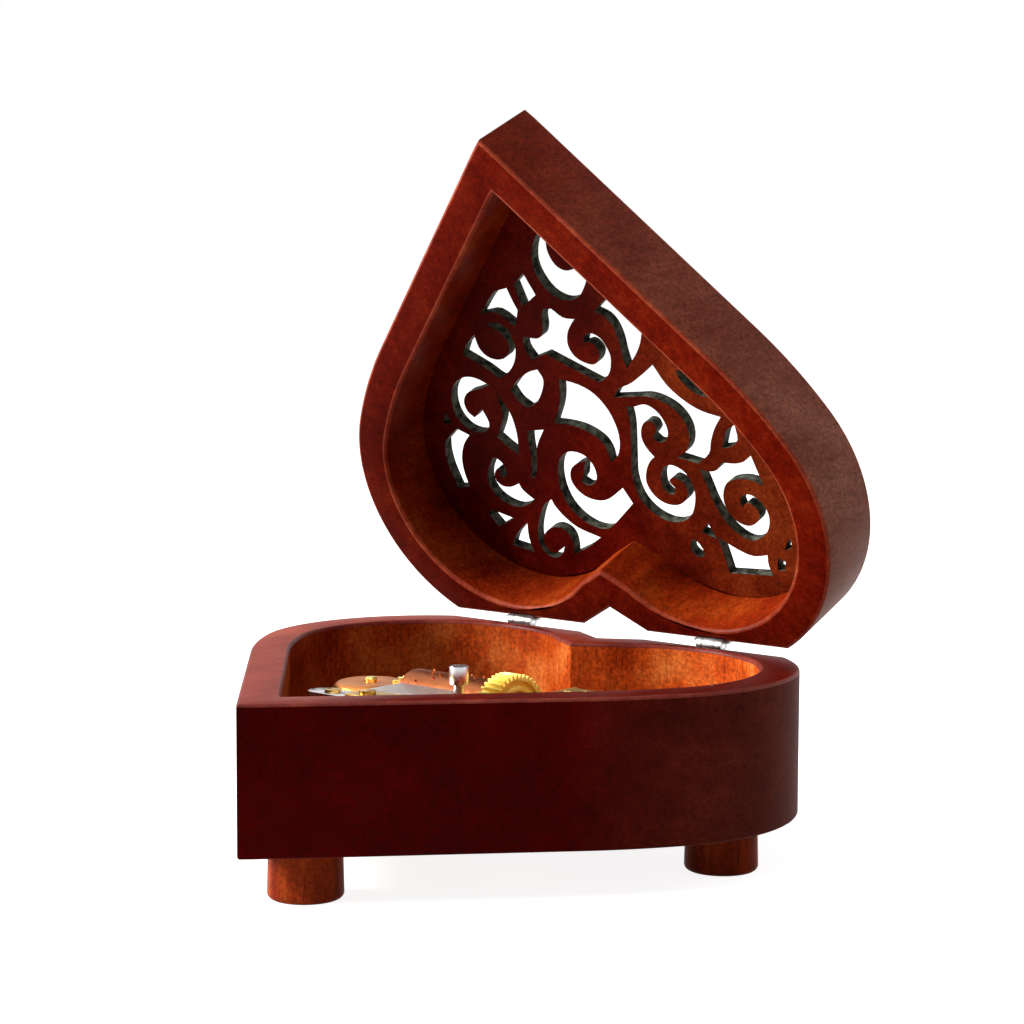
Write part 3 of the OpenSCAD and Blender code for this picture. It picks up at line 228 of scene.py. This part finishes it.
def linear(r, g, b):
    """Linear colour from 0-255 display values."""
    def one(v):
        v /= 255
        return v / 12.92 if v <= 0.04045 else ((v + 0.055) / 1.055) ** 2.4
    return (one(r), one(g), one(b), 1)


class Nodes:
    """Short ways to fill a node tree."""

    def __init__(self, tree):
        self.tree = tree

    def feed(self, socket, value):
        """Links an input to an output socket, or sets it to a plain value."""
        if isinstance(value, bpy.types.NodeSocket):
            self.tree.links.new(value, socket)
        else:
            socket.default_value = value

    def add(self, kind, inputs, **settings):
        """A new node with its settings made and its inputs fed."""
        node = self.tree.nodes.new(kind)
        for key, value in settings.items():
            setattr(node, key, value)
        for key, value in inputs.items():
            self.feed(node.inputs[key], value)
        return node

    def seen_or(self, seen, plain):
        """One shader for the eye and its reflections, another for the light."""
        rays = self.add("ShaderNodeLightPath", {}).outputs
        eye = rays["Is Camera Ray"]
        for kind in ("Is Glossy Ray", "Is Transmission Ray"):
            eye = self.add("ShaderNodeMath", {0: eye, 1: rays[kind]},
                           operation="MAXIMUM").outputs[0]
        return self.add("ShaderNodeMixShader", {0: eye, 1: plain, 2: seen}).outputs[0]


class Shader(Nodes):
    """A new material with a Principled shader; its colours are display values."""

    def __init__(self, name):
        self.material = bpy.data.materials.new(name)
        self.material.use_nodes = True
        super().__init__(self.material.node_tree)
        self.base = self.tree.nodes["Principled BSDF"]

    def set(self, **values):
        """Feeds inputs of the Principled shader, named with _ for a space."""
        for key, value in values.items():
            self.feed(self.base.inputs[key.replace("_", " ")], value)

    def coords(self, scale=(1, 1, 1), turn=(0, 0, 0)):
        """Object coordinates, scaled and then turned."""
        where = self.add("ShaderNodeTexCoord", {}).outputs["Object"]
        return self.add("ShaderNodeMapping", {
            "Vector": where, "Rotation": turn, "Scale": scale}).outputs["Vector"]

    def noise(self, vector, scale, detail=3, rough=0.55):
        """Noise with this many features per metre."""
        return self.add("ShaderNodeTexNoise", {
            "Vector": vector, "Scale": scale, "Detail": detail,
            "Roughness": rough}).outputs["Fac"]

    def ramp(self, value, stops):
        """Colour ramp from (position, colour) stops."""
        node = self.add("ShaderNodeValToRGB", {"Fac": value})
        elements = node.color_ramp.elements
        while len(elements) < len(stops):
            elements.new(0.5)
        for element, (position, colour) in zip(elements, stops):
            element.position = position
            element.color = linear(*colour)
        return node.outputs["Color"]

    def mix(self, factor, a, b, blend="MIX"):
        """Two colours mixed or blended by a factor."""
        node = self.add("ShaderNodeMix", {MIX_FACTOR: factor, MIX_A: a, MIX_B: b},
                        data_type="RGBA", blend_type=blend)
        return node.outputs[MIX_RESULT]

    def place(self, vector, axis, start, end):
        """0 to 1 between two places in millimetres along an axis."""
        apart = self.add("ShaderNodeSeparateXYZ", {"Vector": vector})
        return self.add("ShaderNodeMapRange", {
            "Value": apart.outputs[axis], "From Min": start * MM,
            "From Max": end * MM}).outputs["Result"]

    def spread(self, value, low, high):
        """Maps the middle of a noise onto low to high."""
        return self.add("ShaderNodeMapRange", {
            "Value": value, "From Min": NOISE_LOW, "From Max": NOISE_HIGH,
            "To Min": low, "To Max": high}).outputs["Result"]

    def bump(self, height, strength, distance_mm):
        """Gives the Principled shader a fine relief."""
        node = self.add("ShaderNodeBump", {
            "Height": height, "Strength": strength, "Distance": distance_mm * MM})
        self.feed(self.base.inputs["Normal"], node.outputs["Normal"])


# ---- Wood ----

FULL = (255, 255, 255)
STAIN_AND_SHADE_LEFT = [(0, (190, 190, 190)), (1, FULL)]     # darker on the left: staining sprayed deeper there, and painted shade
SPECKS = [(0.34, (128, 128, 128)), (0.5, (188, 188, 188)), (0.66, (244, 244, 244))]
PORES = [(0.32, (150, 140, 140)), (0.42, FULL)]
HAZE_TINT = linear(220, 170, 150)
GRAIN = {"Y": (1, 0.08, 1), "Z": (1, 1, 0.08)}    # draws streaks out along an axis
LID_TURN = (math.radians(LID_OPEN), 0, 0)


def wood_shader(name, deep, mid, light, grain="Y", turn=(0, 0, 0), streaks=0.5,
                mottle=0.5, roughness=(0.4, 0.55), specular=0.12, burst=None,
                haze=0.0):
    """Stained wood: soft streaks along the grain, fine mottling and short pores.

    A list of (place from 0 to 1 across X, shade) tints the colour across the box:
    partly staining sprayed unevenly, partly painted shade and painted sheen.
    haze is the dusty gloss of the lacquer at grazing angles.
    """
    shader = Shader(name)
    along = shader.coords(GRAIN[grain], turn)
    plain = shader.coords(turn=turn)
    cloud = shader.noise(plain, 90, 3)
    streak = shader.noise(along, 420, 4, 0.6)
    speck = shader.noise(plain, 1300, 3, 0.7)
    pore = shader.noise(along, 2600, 2, 0.5)
    figure = shader.mix(streaks, cloud, streak)
    colour = shader.ramp(figure, [(NOISE_LOW, deep), (NOISE_MID, mid),
                                  (NOISE_HIGH, light)])
    colour = shader.mix(mottle, colour, shader.ramp(speck, SPECKS), "OVERLAY")
    colour = shader.mix(0.5, colour, shader.ramp(pore, PORES), "MULTIPLY")
    # Multiplied across X: uneven staining together with painted shade and painted sheen
    if burst:
        across = shader.place(shader.coords(), "X", -CASE_W / 2, CASE_W / 2)
        colour = shader.mix(1.0, colour, shader.ramp(across, burst), "MULTIPLY")
    shader.set(Base_Color=colour, Roughness=shader.spread(speck, *roughness),
               Specular_IOR_Level=specular, Sheen_Weight=haze, Sheen_Roughness=0.4,
               Sheen_Tint=HAZE_TINT)
    shader.bump(shader.mix(0.5, speck, pore), strength=0.2, distance_mm=0.04)
    return shader


def stained_wood(*args, **settings):
    """The material of a wood_shader."""
    return wood_shader(*args, **settings).material


# Redder in the middle and browner towards the lobes, most at the right: partly uneven
# staining, partly a painted sheen
case_outer = stained_wood(
    "case_outer", deep=(58, 14, 10), mid=(74, 22, 14), light=(88, 32, 22),
    streaks=0.3, mottle=0.35, roughness=(0.45, 0.6), specular=0.015, haze=0.12,
    burst=[(0, (215, 60, 60)), (0.5, (210, 10, 10)), (0.84, (215, 25, 25)), (1, FULL)])
# Darker towards the right: partly uneven staining, partly painted shade where the open
# lid shades the rim
case_rim = stained_wood(
    "case_rim", deep=(104, 26, 12), mid=(130, 42, 22), light=(150, 58, 34),
    mottle=0.3, roughness=(0.3, 0.45), specular=0.02,
    burst=[(0, FULL), (0.48, (235, 230, 230)), (0.62, (175, 120, 110)),
           (1, (150, 95, 85))])
# Lighter and pinker than the sides: a painted highlight along the rounded edges
case_edge = stained_wood(
    "case_edge", deep=(84, 22, 16), mid=(108, 38, 28), light=(130, 56, 42), mottle=0.3)
# Darker towards the left: partly uneven staining, partly painted shade on the cavity's
# left wall
case_inner = stained_wood(
    "case_inner", deep=(140, 40, 8), mid=(186, 76, 22), light=(218, 122, 54),
    grain="Z", streaks=0.2, mottle=0.65, roughness=(0.55, 0.75), specular=0.02,
    burst=[(0, (165, 150, 150)), (0.5, (225, 220, 220)), (1, FULL)])
# Lighter and hazier towards the right lobe: partly uneven staining, partly a painted
# sheen
lid_outer = stained_wood(
    "lid_outer", deep=(92, 44, 32), mid=(116, 66, 52), light=(134, 86, 70),
    turn=LID_TURN, streaks=0.4, specular=0.04, haze=0.12,
    burst=[(0, (215, 140, 110)), (0.55, (220, 125, 85)), (1, FULL)])
# Darker towards the left: partly uneven staining, partly painted shade
lid_rim = stained_wood(
    "lid_rim", deep=(72, 8, 2), mid=(98, 17, 4), light=(118, 32, 9),
    turn=LID_TURN, mottle=0.4, specular=0.01, burst=STAIN_AND_SHADE_LEFT)
# Lighter than the rim: a painted highlight along the rounded edges
lid_edge = stained_wood(
    "lid_edge", deep=(96, 26, 12), mid=(128, 46, 24), light=(156, 72, 44),
    turn=LID_TURN, mottle=0.3, specular=0.08)
# Darker towards the left: partly uneven staining, partly painted shade in the recess
lid_inner = stained_wood(
    "lid_inner", deep=(100, 20, 3), mid=(138, 40, 8), light=(164, 68, 18),
    turn=LID_TURN, streaks=0.3, specular=0.02, burst=STAIN_AND_SHADE_LEFT)
foot_wood = stained_wood(
    "foot_wood", deep=(96, 26, 6), mid=(128, 42, 11), light=(154, 66, 22),
    grain="Z", streaks=0.8, specular=0.03)
board_wood = stained_wood(
    "board_wood", deep=(84, 34, 20), mid=(112, 50, 30), light=(134, 68, 42),
    mottle=0.4)


FACE_ON = 0.5          # above this cosine a surface is the panel's face, not an edge


def fretwork_wood():
    """Stained panel whose sawn edges are scorched dark."""
    # Darker towards the left: partly uneven staining, partly painted shade
    shader = wood_shader(
        "fretwork_wood", deep=(74, 16, 4), mid=(104, 36, 12), light=(132, 58, 22),
        turn=LID_TURN, streaks=0.3, specular=0.015,
        burst=[(0, (170, 90, 100)), (0.5, (195, 110, 120)), (0.85, FULL)])
    # This colour holds the painted shade across the panel as well as the stained wood
    stain_and_shade = shader.base.inputs["Base Color"].links[0].from_socket
    where = shader.add("ShaderNodeTexCoord", {}).outputs
    upward = lid_matrix().to_3x3() @ Vector((0, 0, 1))
    facing = shader.add("ShaderNodeVectorMath", {0: where["Normal"], 1: upward},
                        operation="DOT_PRODUCT").outputs["Value"]
    flat = shader.add("ShaderNodeMath", {0: facing}, operation="ABSOLUTE").outputs[0]
    on_face = shader.add("ShaderNodeMath", {0: flat, 1: FACE_ON},
                         operation="GREATER_THAN").outputs[0]
    char = shader.noise(where["Object"], 700, 2, 0.5)
    burnt = shader.ramp(char, [(0.35, (26, 27, 22)), (0.7, (98, 101, 88))])
    shader.set(Base_Color=shader.mix(on_face, burnt, stain_and_shade))
    return shader.material


fret_wood = fretwork_wood()


# ---- Metal and plastic ----

MARKS = 900            # fine marks per metre
WIDER = 12             # how much wider the patches of a metal's tint are


def polished(shader, tint, fine, roughness):
    """Metal of this tint, with fine marks in its gloss and relief."""
    shader.set(Base_Color=tint, Metallic=1, Roughness=shader.spread(fine, *roughness))
    shader.bump(fine, strength=0.08, distance_mm=0.01)
    return shader.material


def metal(name, bright, dull, roughness, marks=MARKS, stretch=(1, 1, 1)):
    """Plated or bare metal, here and there a little duller."""
    shader = Shader(name)
    where = shader.coords(stretch)
    fine = shader.noise(where, marks)
    wide = shader.noise(where, marks / WIDER, 2)
    tint = shader.ramp(wide, [(NOISE_LOW, dull), (0.65, bright)])
    return polished(shader, tint, fine, roughness)


nickel = metal("nickel", (244, 244, 244), (216, 216, 218), (0.2, 0.38))
steel = metal("steel", (238, 238, 236), (206, 206, 204), (0.28, 0.42))
spring_steel = metal("spring_steel", (120, 130, 150), (84, 92, 112), (0.25, 0.45))
bed_metal = metal("bed_metal", (206, 176, 104), (176, 146, 80), (0.38, 0.52),
                  marks=600)
gold_plate = metal("gold_plate", (250, 206, 110), (214, 160, 70), (0.14, 0.3))
copper_gold = metal("copper_gold", (226, 146, 78), (208, 120, 56), (0.32, 0.46))
drum_gold = metal("drum_gold", (190, 112, 66), (164, 88, 50), (0.3, 0.45))
bright_brass = metal("bright_brass", (252, 228, 130), (236, 200, 96), (0.2, 0.34))
screw_brass = metal("screw_brass", (236, 204, 120), (190, 152, 80), (0.2, 0.4))
hinge_nickel = metal("hinge_nickel", (214, 213, 210), (176, 175, 174), (0.28, 0.5),
                     marks=1500, stretch=(0.15, 1, 1))

HEEL_END, TEETH_START = -31, -30    # where the comb's colour changes, in mm along Y


def comb_metal():
    """Bright steel teeth that grow out of a brass-coloured heel."""
    shader = Shader("comb_steel")
    where = shader.coords()
    tint = shader.ramp(shader.place(where, "Y", HEEL_END, TEETH_START),
                       [(0, (196, 160, 84)), (1, (246, 246, 244))])
    return polished(shader, tint, shader.noise(where, MARKS), (0.28, 0.42))


def moulded_plastic():
    """Yellow acetal of the drum gear: soft gloss and slight cloudiness."""
    shader = Shader("yellow_plastic")
    where = shader.coords()
    cloud = shader.noise(where, 260)
    fine = shader.noise(where, 1800, 2)
    tint = shader.ramp(cloud, [(NOISE_LOW, (244, 204, 66)),
                               (NOISE_HIGH, (255, 234, 116))])
    shader.set(Base_Color=tint, Roughness=shader.spread(fine, 0.28, 0.42),
               Specular_IOR_Level=0.5, Subsurface_Weight=0.08, Subsurface_Scale=MM)
    shader.bump(fine, strength=0.08, distance_mm=0.02)
    return shader.material


comb_steel = comb_metal()
yellow_plastic = moulded_plastic()

# ---- Groups of like CAD nodes ----
SIDES = ("left", "right")
LEAVES = [side + leaf for side in SIDES for leaf in ("_base_leaf", "_lid_leaf")]
PINS = [side + "_hinge_pin" for side in SIDES]
FEET = ["front_foot", "left_rear_foot", "right_rear_foot"]

SLOT_MATERIALS = {
    "case_wood": case_outer, "lid_wood": lid_outer, "board_wood": board_wood,
    "foot_wood": foot_wood, "fret_wood": fret_wood, "nickel": nickel,
    "steel": steel, "spring_steel": spring_steel, "bed_metal": bed_metal,
    "gold_plate": gold_plate, "screw_brass": screw_brass,
    "yellow_plastic": yellow_plastic}

# Nodes that look different from the rest of their slot
NODE_MATERIALS = {
    "comb": comb_steel, "spring_housing": copper_gold, "drum": drum_gold,
    "winding_arbor": bright_brass, "crown_wheel": bright_brass,
    "drum_pinion": bright_brass, "governor_frame": bed_metal,
    **dict.fromkeys(LEAVES, hinge_nickel)}

# Nodes shown as a copy with rounded edges: the width of the rounding, in millimetres
ROUNDED = {
    **dict.fromkeys(FEET, 0.35), **dict.fromkeys(LEAVES, 0.08),
    **dict.fromkeys(PINS, 0.1),
    "bed_plate": 0.15, "comb": 0.04, "comb_screws": 0.12, "spring_housing": 0.25,
    "housing_strap": 0.15, "strap_screw": 0.12, "governor_frame": 0.12,
    "governor_screws": 0.1, "winding_key": 0.2, "drum_gear": 0.05,
    "stop_pillar": 0.2, "air_fly": 0.03, "governor_wheel": 0.03,
    "crown_wheel": 0.05, "drum_pinion": 0.05}


# ---- Piece helpers ----

def slot_of(node):
    """The record's material slot of a CAD node."""
    for sub in frame["record"]["subparts"]:
        if sub["node"] == node:
            return sub["material_slot"]
    raise KeyError(node)


def new_object(name, data):
    """An object of the scene for a mesh, lamp or camera."""
    piece = bpy.data.objects.new(name, data)
    bpy.context.scene.collection.objects.link(piece)
    return piece


def new_mesh(name, bm):
    """A mesh from a bmesh, which is freed."""
    mesh = bpy.data.meshes.new(name)
    bm.to_mesh(mesh)
    bm.free()
    return mesh


def paint(piece, *materials):
    """Sets a piece's material slots; a bare shell keeps its zone numbers."""
    if len(piece.data.materials):
        piece.data.materials.clear()
    for material in materials:
        piece.data.materials.append(material)


def shade(mesh, crease):
    """Smooth shading, but for edges that turn by more than crease degrees."""
    for poly in mesh.polygons:
        poly.use_smooth = True
    mesh.set_sharp_from_angle(angle=math.radians(crease))


# ---- Wooden shells ----

# Zones of a wooden shell, in the order of its material slots. The EDGE zone's material
# is drawn lighter: a painted highlight on the rounded edges in that zone.
OUTER, RIM, EDGE, INNER = range(4)


def ring_shell(name, rings, pose):
    """Closed band of wood through rings of (outline, height, zone of the next band)."""
    verts, faces, kinds = [], [], []
    count = len(rings[0][0])
    for i, (outline, z, zone) in enumerate(rings):
        verts += [pose @ Vector((p.x, p.y, z)) * MM for p in outline]
        a = i * count
        b = (i + 1) % len(rings) * count
        for k in range(count):
            n = (k + 1) % count
            faces.append((a + k, a + n, b + n, b + k))
            kinds.append(zone)
    mesh = bpy.data.meshes.new(name)
    mesh.from_pydata(verts, [], faces)
    bm = bmesh.new()
    bm.from_mesh(mesh)
    if bm.calc_volume(signed=True) < 0:
        bmesh.ops.reverse_faces(bm, faces=bm.faces)
    bm.to_mesh(mesh)
    bm.free()
    for poly, kind in zip(mesh.polygons, kinds):
        poly.material_index = kind
    shade(mesh, crease=28)
    mesh.validate()
    return new_object(name, mesh)


def relieve(piece):
    """Cuts the shallow reliefs for the hinge knuckles out of a shell."""
    for pin in PINS:
        low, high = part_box(pin)
        bm = bmesh.new()
        bmesh.ops.create_cone(bm, cap_ends=True, segments=40, radius1=RELIEF_R * MM,
                              radius2=RELIEF_R * MM,
                              depth=high.x - low.x + RELIEF_PAST * MM)
        bmesh.ops.rotate(bm, verts=bm.verts, cent=(0, 0, 0),
                         matrix=Matrix.Rotation(math.pi / 2, 3, "Y"))
        bmesh.ops.translate(bm, verts=bm.verts, vec=(low + high) / 2)
        cutter = new_object("cutter", new_mesh("cutter", bm))
        paint(cutter, *piece.data.materials)
        cut = piece.modifiers.new("relief", "BOOLEAN")
        cut.object = cutter
        cut.solver = "MANIFOLD"
        bpy.context.view_layer.update()
        done = bpy.data.meshes.new_from_object(
            piece.evaluated_get(bpy.context.evaluated_depsgraph_get()))
        piece.modifiers.clear()
        piece.data = done
        bpy.data.objects.remove(cutter)


def base_shell():
    """Base with its cavity and the rebate of the bottom board."""
    rings = [(heart_loop(inset), BASE_Z + drop, OUTER)
             for inset, drop in reversed(round_steps(EDGE_R))]
    rings += [(heart_loop(inset), RIM_Z - drop, EDGE)
              for inset, drop in round_steps(EDGE_R)[:-1]]
    rings.append((heart_loop(EDGE_R), RIM_Z, RIM))
    rings += [(round_loop(BASE_WALL - inset), RIM_Z - drop, EDGE if inset else INNER)
              for inset, drop in reversed(round_steps(INNER_EDGE_R))]
    rings += [(round_loop(BASE_WALL), FLOOR_Z, INNER),
              (heart_loop(BOARD_LEDGE, REBATE_BACK), FLOOR_Z, INNER),
              (heart_loop(BOARD_LEDGE, REBATE_BACK), BASE_Z, OUTER)]
    piece = ring_shell("case_shell", rings, Matrix())
    paint(piece, case_outer, case_rim, case_edge, case_inner)
    relieve(piece)
    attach(piece, "case")
    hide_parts("base_case")


def lid_shell():
    """Lid frame with its recess and the rebate of the panel."""
    top = LID_Z + LID_H
    ledge = top - PANEL_T - PANEL_SINK
    lap = LID_WALL - PANEL_LAP
    rings = [(heart_loop(inset), LID_Z + drop, EDGE if inset else OUTER)
             for inset, drop in reversed(round_steps(EDGE_R))]
    rings += [(heart_loop(inset), top - drop, EDGE)
              for inset, drop in round_steps(EDGE_R)[:-1]]
    rings += [(heart_loop(EDGE_R), top, OUTER),
              (heart_loop(lap, REBATE_BACK), top, INNER),
              (heart_loop(lap, REBATE_BACK), ledge, INNER),
              (round_loop(LID_WALL), ledge, INNER)]
    rings += [(round_loop(LID_WALL - inset), LID_Z + drop, EDGE)
              for inset, drop in round_steps(INNER_EDGE_R)[:-1]]
    rings.append((round_loop(LID_WALL - INNER_EDGE_R), LID_Z, RIM))
    piece = ring_shell("lid_shell", rings, lid_matrix())
    paint(piece, lid_outer, lid_rim, lid_edge, lid_inner)
    relieve(piece)
    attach(piece, "lid")
    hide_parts("lid_frame")


base_shell()
lid_shell()


# ---- CAD nodes: rounded copies where edges show, better materials on the rest ----

SAME_POINT = 0.002     # points nearer than this, in millimetres, are one
SAME_FLAT = 0.6        # faces that turn by less than this, in degrees, are one
ROUND_OVER = 32        # edges that turn by more than this are rounded


def dress(node, width, material):
    """A copy of a CAD node with its sharp edges rounded, to show in its place."""
    source = frame["nodes"][node]
    bm = bmesh.new()
    bm.from_mesh(source.data)
    bmesh.ops.remove_doubles(bm, verts=bm.verts, dist=SAME_POINT * MM)
    bmesh.ops.dissolve_limit(bm, angle_limit=math.radians(SAME_FLAT), verts=bm.verts,
                             edges=bm.edges)
    sharp = [e for e in bm.edges if len(e.link_faces) == 2
             and e.calc_face_angle(0) > math.radians(ROUND_OVER)]
    bmesh.ops.bevel(bm, geom=sharp, offset=width * MM, segments=2, profile=0.5,
                    affect="EDGES", clamp_overlap=True)
    mesh = new_mesh(node + "_rounded", bm)
    if "custom_normal" in mesh.attributes:
        mesh.attributes.remove(mesh.attributes["custom_normal"])
    shade(mesh, crease=30)
    piece = new_object(node + "_rounded", mesh)
    paint(piece, material)
    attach(piece, source["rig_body"])
    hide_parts(node)


for node_name, source in frame["nodes"].items():
    if node_name in ("base_case", "lid_frame"):
        continue
    material = NODE_MATERIALS.get(node_name, SLOT_MATERIALS[slot_of(node_name)])
    if node_name in ROUNDED:
        dress(node_name, ROUNDED[node_name], material)
    else:
        paint(source, material)


# ---- Stage and light: lengths in metres, powers in watts ----

FLOOR_HALF = 3         # half the floor's width
FLOOR_SHADES = [(0, (206, 206, 206)), (1, (212, 212, 212))]
FLOOR_GLOW = 0.88      # lifts the floor to white for the eye
WORLD_LIGHT = 0.18     # strength of the even light from all round
LIGHT_TARGET = Vector((0, -0.01, 0.05))


def white_stage():
    """Pale floor that shows white around a soft shadow."""
    shader = Shader("floor_white")
    tint = shader.ramp(shader.noise(shader.coords(), 300, 2), FLOOR_SHADES)
    shader.set(Base_Color=tint, Roughness=0.9, Specular_IOR_Level=0.1)
    plain = shader.base.outputs[0]
    glow = shader.add("ShaderNodeEmission", {"Color": WHITE, "Strength": FLOOR_GLOW})
    both = shader.add("ShaderNodeAddShader", {0: plain, 1: glow.outputs[0]})
    shader.feed(shader.tree.nodes["Material Output"].inputs["Surface"],
                shader.seen_or(both.outputs[0], plain))
    bm = bmesh.new()
    bmesh.ops.create_grid(bm, x_segments=8, y_segments=8, size=FLOOR_HALF)
    floor = new_object("floor", new_mesh("floor", bm))
    paint(floor, shader.material)


def white_world():
    """White to the eye and in reflections, and a dim even light otherwise."""
    world = bpy.data.worlds.new("studio")
    bpy.context.scene.world = world
    world.use_nodes = True
    nodes = Nodes(world.node_tree)
    dim = world.node_tree.nodes["Background"]
    dim.inputs["Color"].default_value = WHITE
    dim.inputs["Strength"].default_value = WORLD_LIGHT
    bright = nodes.add("ShaderNodeBackground", {"Color": WHITE, "Strength": 1})
    nodes.feed(world.node_tree.nodes["World Output"].inputs["Surface"],
               nodes.seen_or(bright.outputs[0], dim.outputs[0]))


def softbox(name, direction, distance, size, power):
    """Square area lamp that looks at the middle of the box."""
    lamp = bpy.data.lights.new(name, "AREA")
    lamp.shape = "SQUARE"
    lamp.size = size
    lamp.energy = power
    holder = new_object(name, lamp)
    way = Vector(direction).normalized()
    holder.location = LIGHT_TARGET + way * distance
    holder.rotation_euler = (-way).to_track_quat("-Z", "Y").to_euler()


white_stage()
white_world()
softbox("key_light", (-0.85, -0.62, 0.5), distance=1.0, size=0.35, power=22)
softbox("top_light", (0.25, -0.45, 0.85), distance=1.1, size=0.5, power=5)
softbox("fill_light", (0.8, 0.6, 0.6), distance=1.2, size=0.7, power=1.8)


# ---- Camera: angles in degrees, lengths in millimetres ----

VIEW_AZ = 39.904
VIEW_EL = 6.178
VIEW_ROLL = 0.226
VIEW_DIST = 513.669
VIEW_X = -2.001        # shift to the right of a look at the rim over the origin
VIEW_Y = 25.776        # and upward
VIEW_FOCAL = 2779.373  # focal length in pixels of a frame VIEW_FRAME wide
VIEW_FRAME = 1024
SENSOR = 36            # width of the camera's sensor
NEAREST, FARTHEST = 10, 20000


def place_camera():
    """Camera that looks down at the box from its front right."""
    az, el, roll = (math.radians(a) for a in (VIEW_AZ, VIEW_EL, VIEW_ROLL))
    ahead = Vector((-math.sin(az) * math.cos(el), math.cos(az) * math.cos(el),
                    -math.sin(el)))
    right = Vector((math.cos(az), math.sin(az), 0))
    up = right.cross(ahead)
    place = -ahead * VIEW_DIST + right * VIEW_X + up * VIEW_Y
    place += Vector((0, 0, RIM_Z))
    side = right * math.cos(roll) + up * math.sin(roll)
    top = -right * math.sin(roll) + up * math.cos(roll)
    lens = bpy.data.cameras.new("camera")
    lens.sensor_width = SENSOR
    lens.sensor_fit = "HORIZONTAL"
    lens.lens = VIEW_FOCAL / VIEW_FRAME * SENSOR
    lens.clip_start = NEAREST * MM
    lens.clip_end = FARTHEST * MM
    camera = new_object("camera", lens)
    camera.matrix_world = Matrix.Translation(place * MM) @ Matrix(
        (side, top, -ahead)).transposed().to_4x4()
    bpy.context.scene.camera = camera


place_camera()
bpy.context.scene.view_settings.view_transform = "Standard"
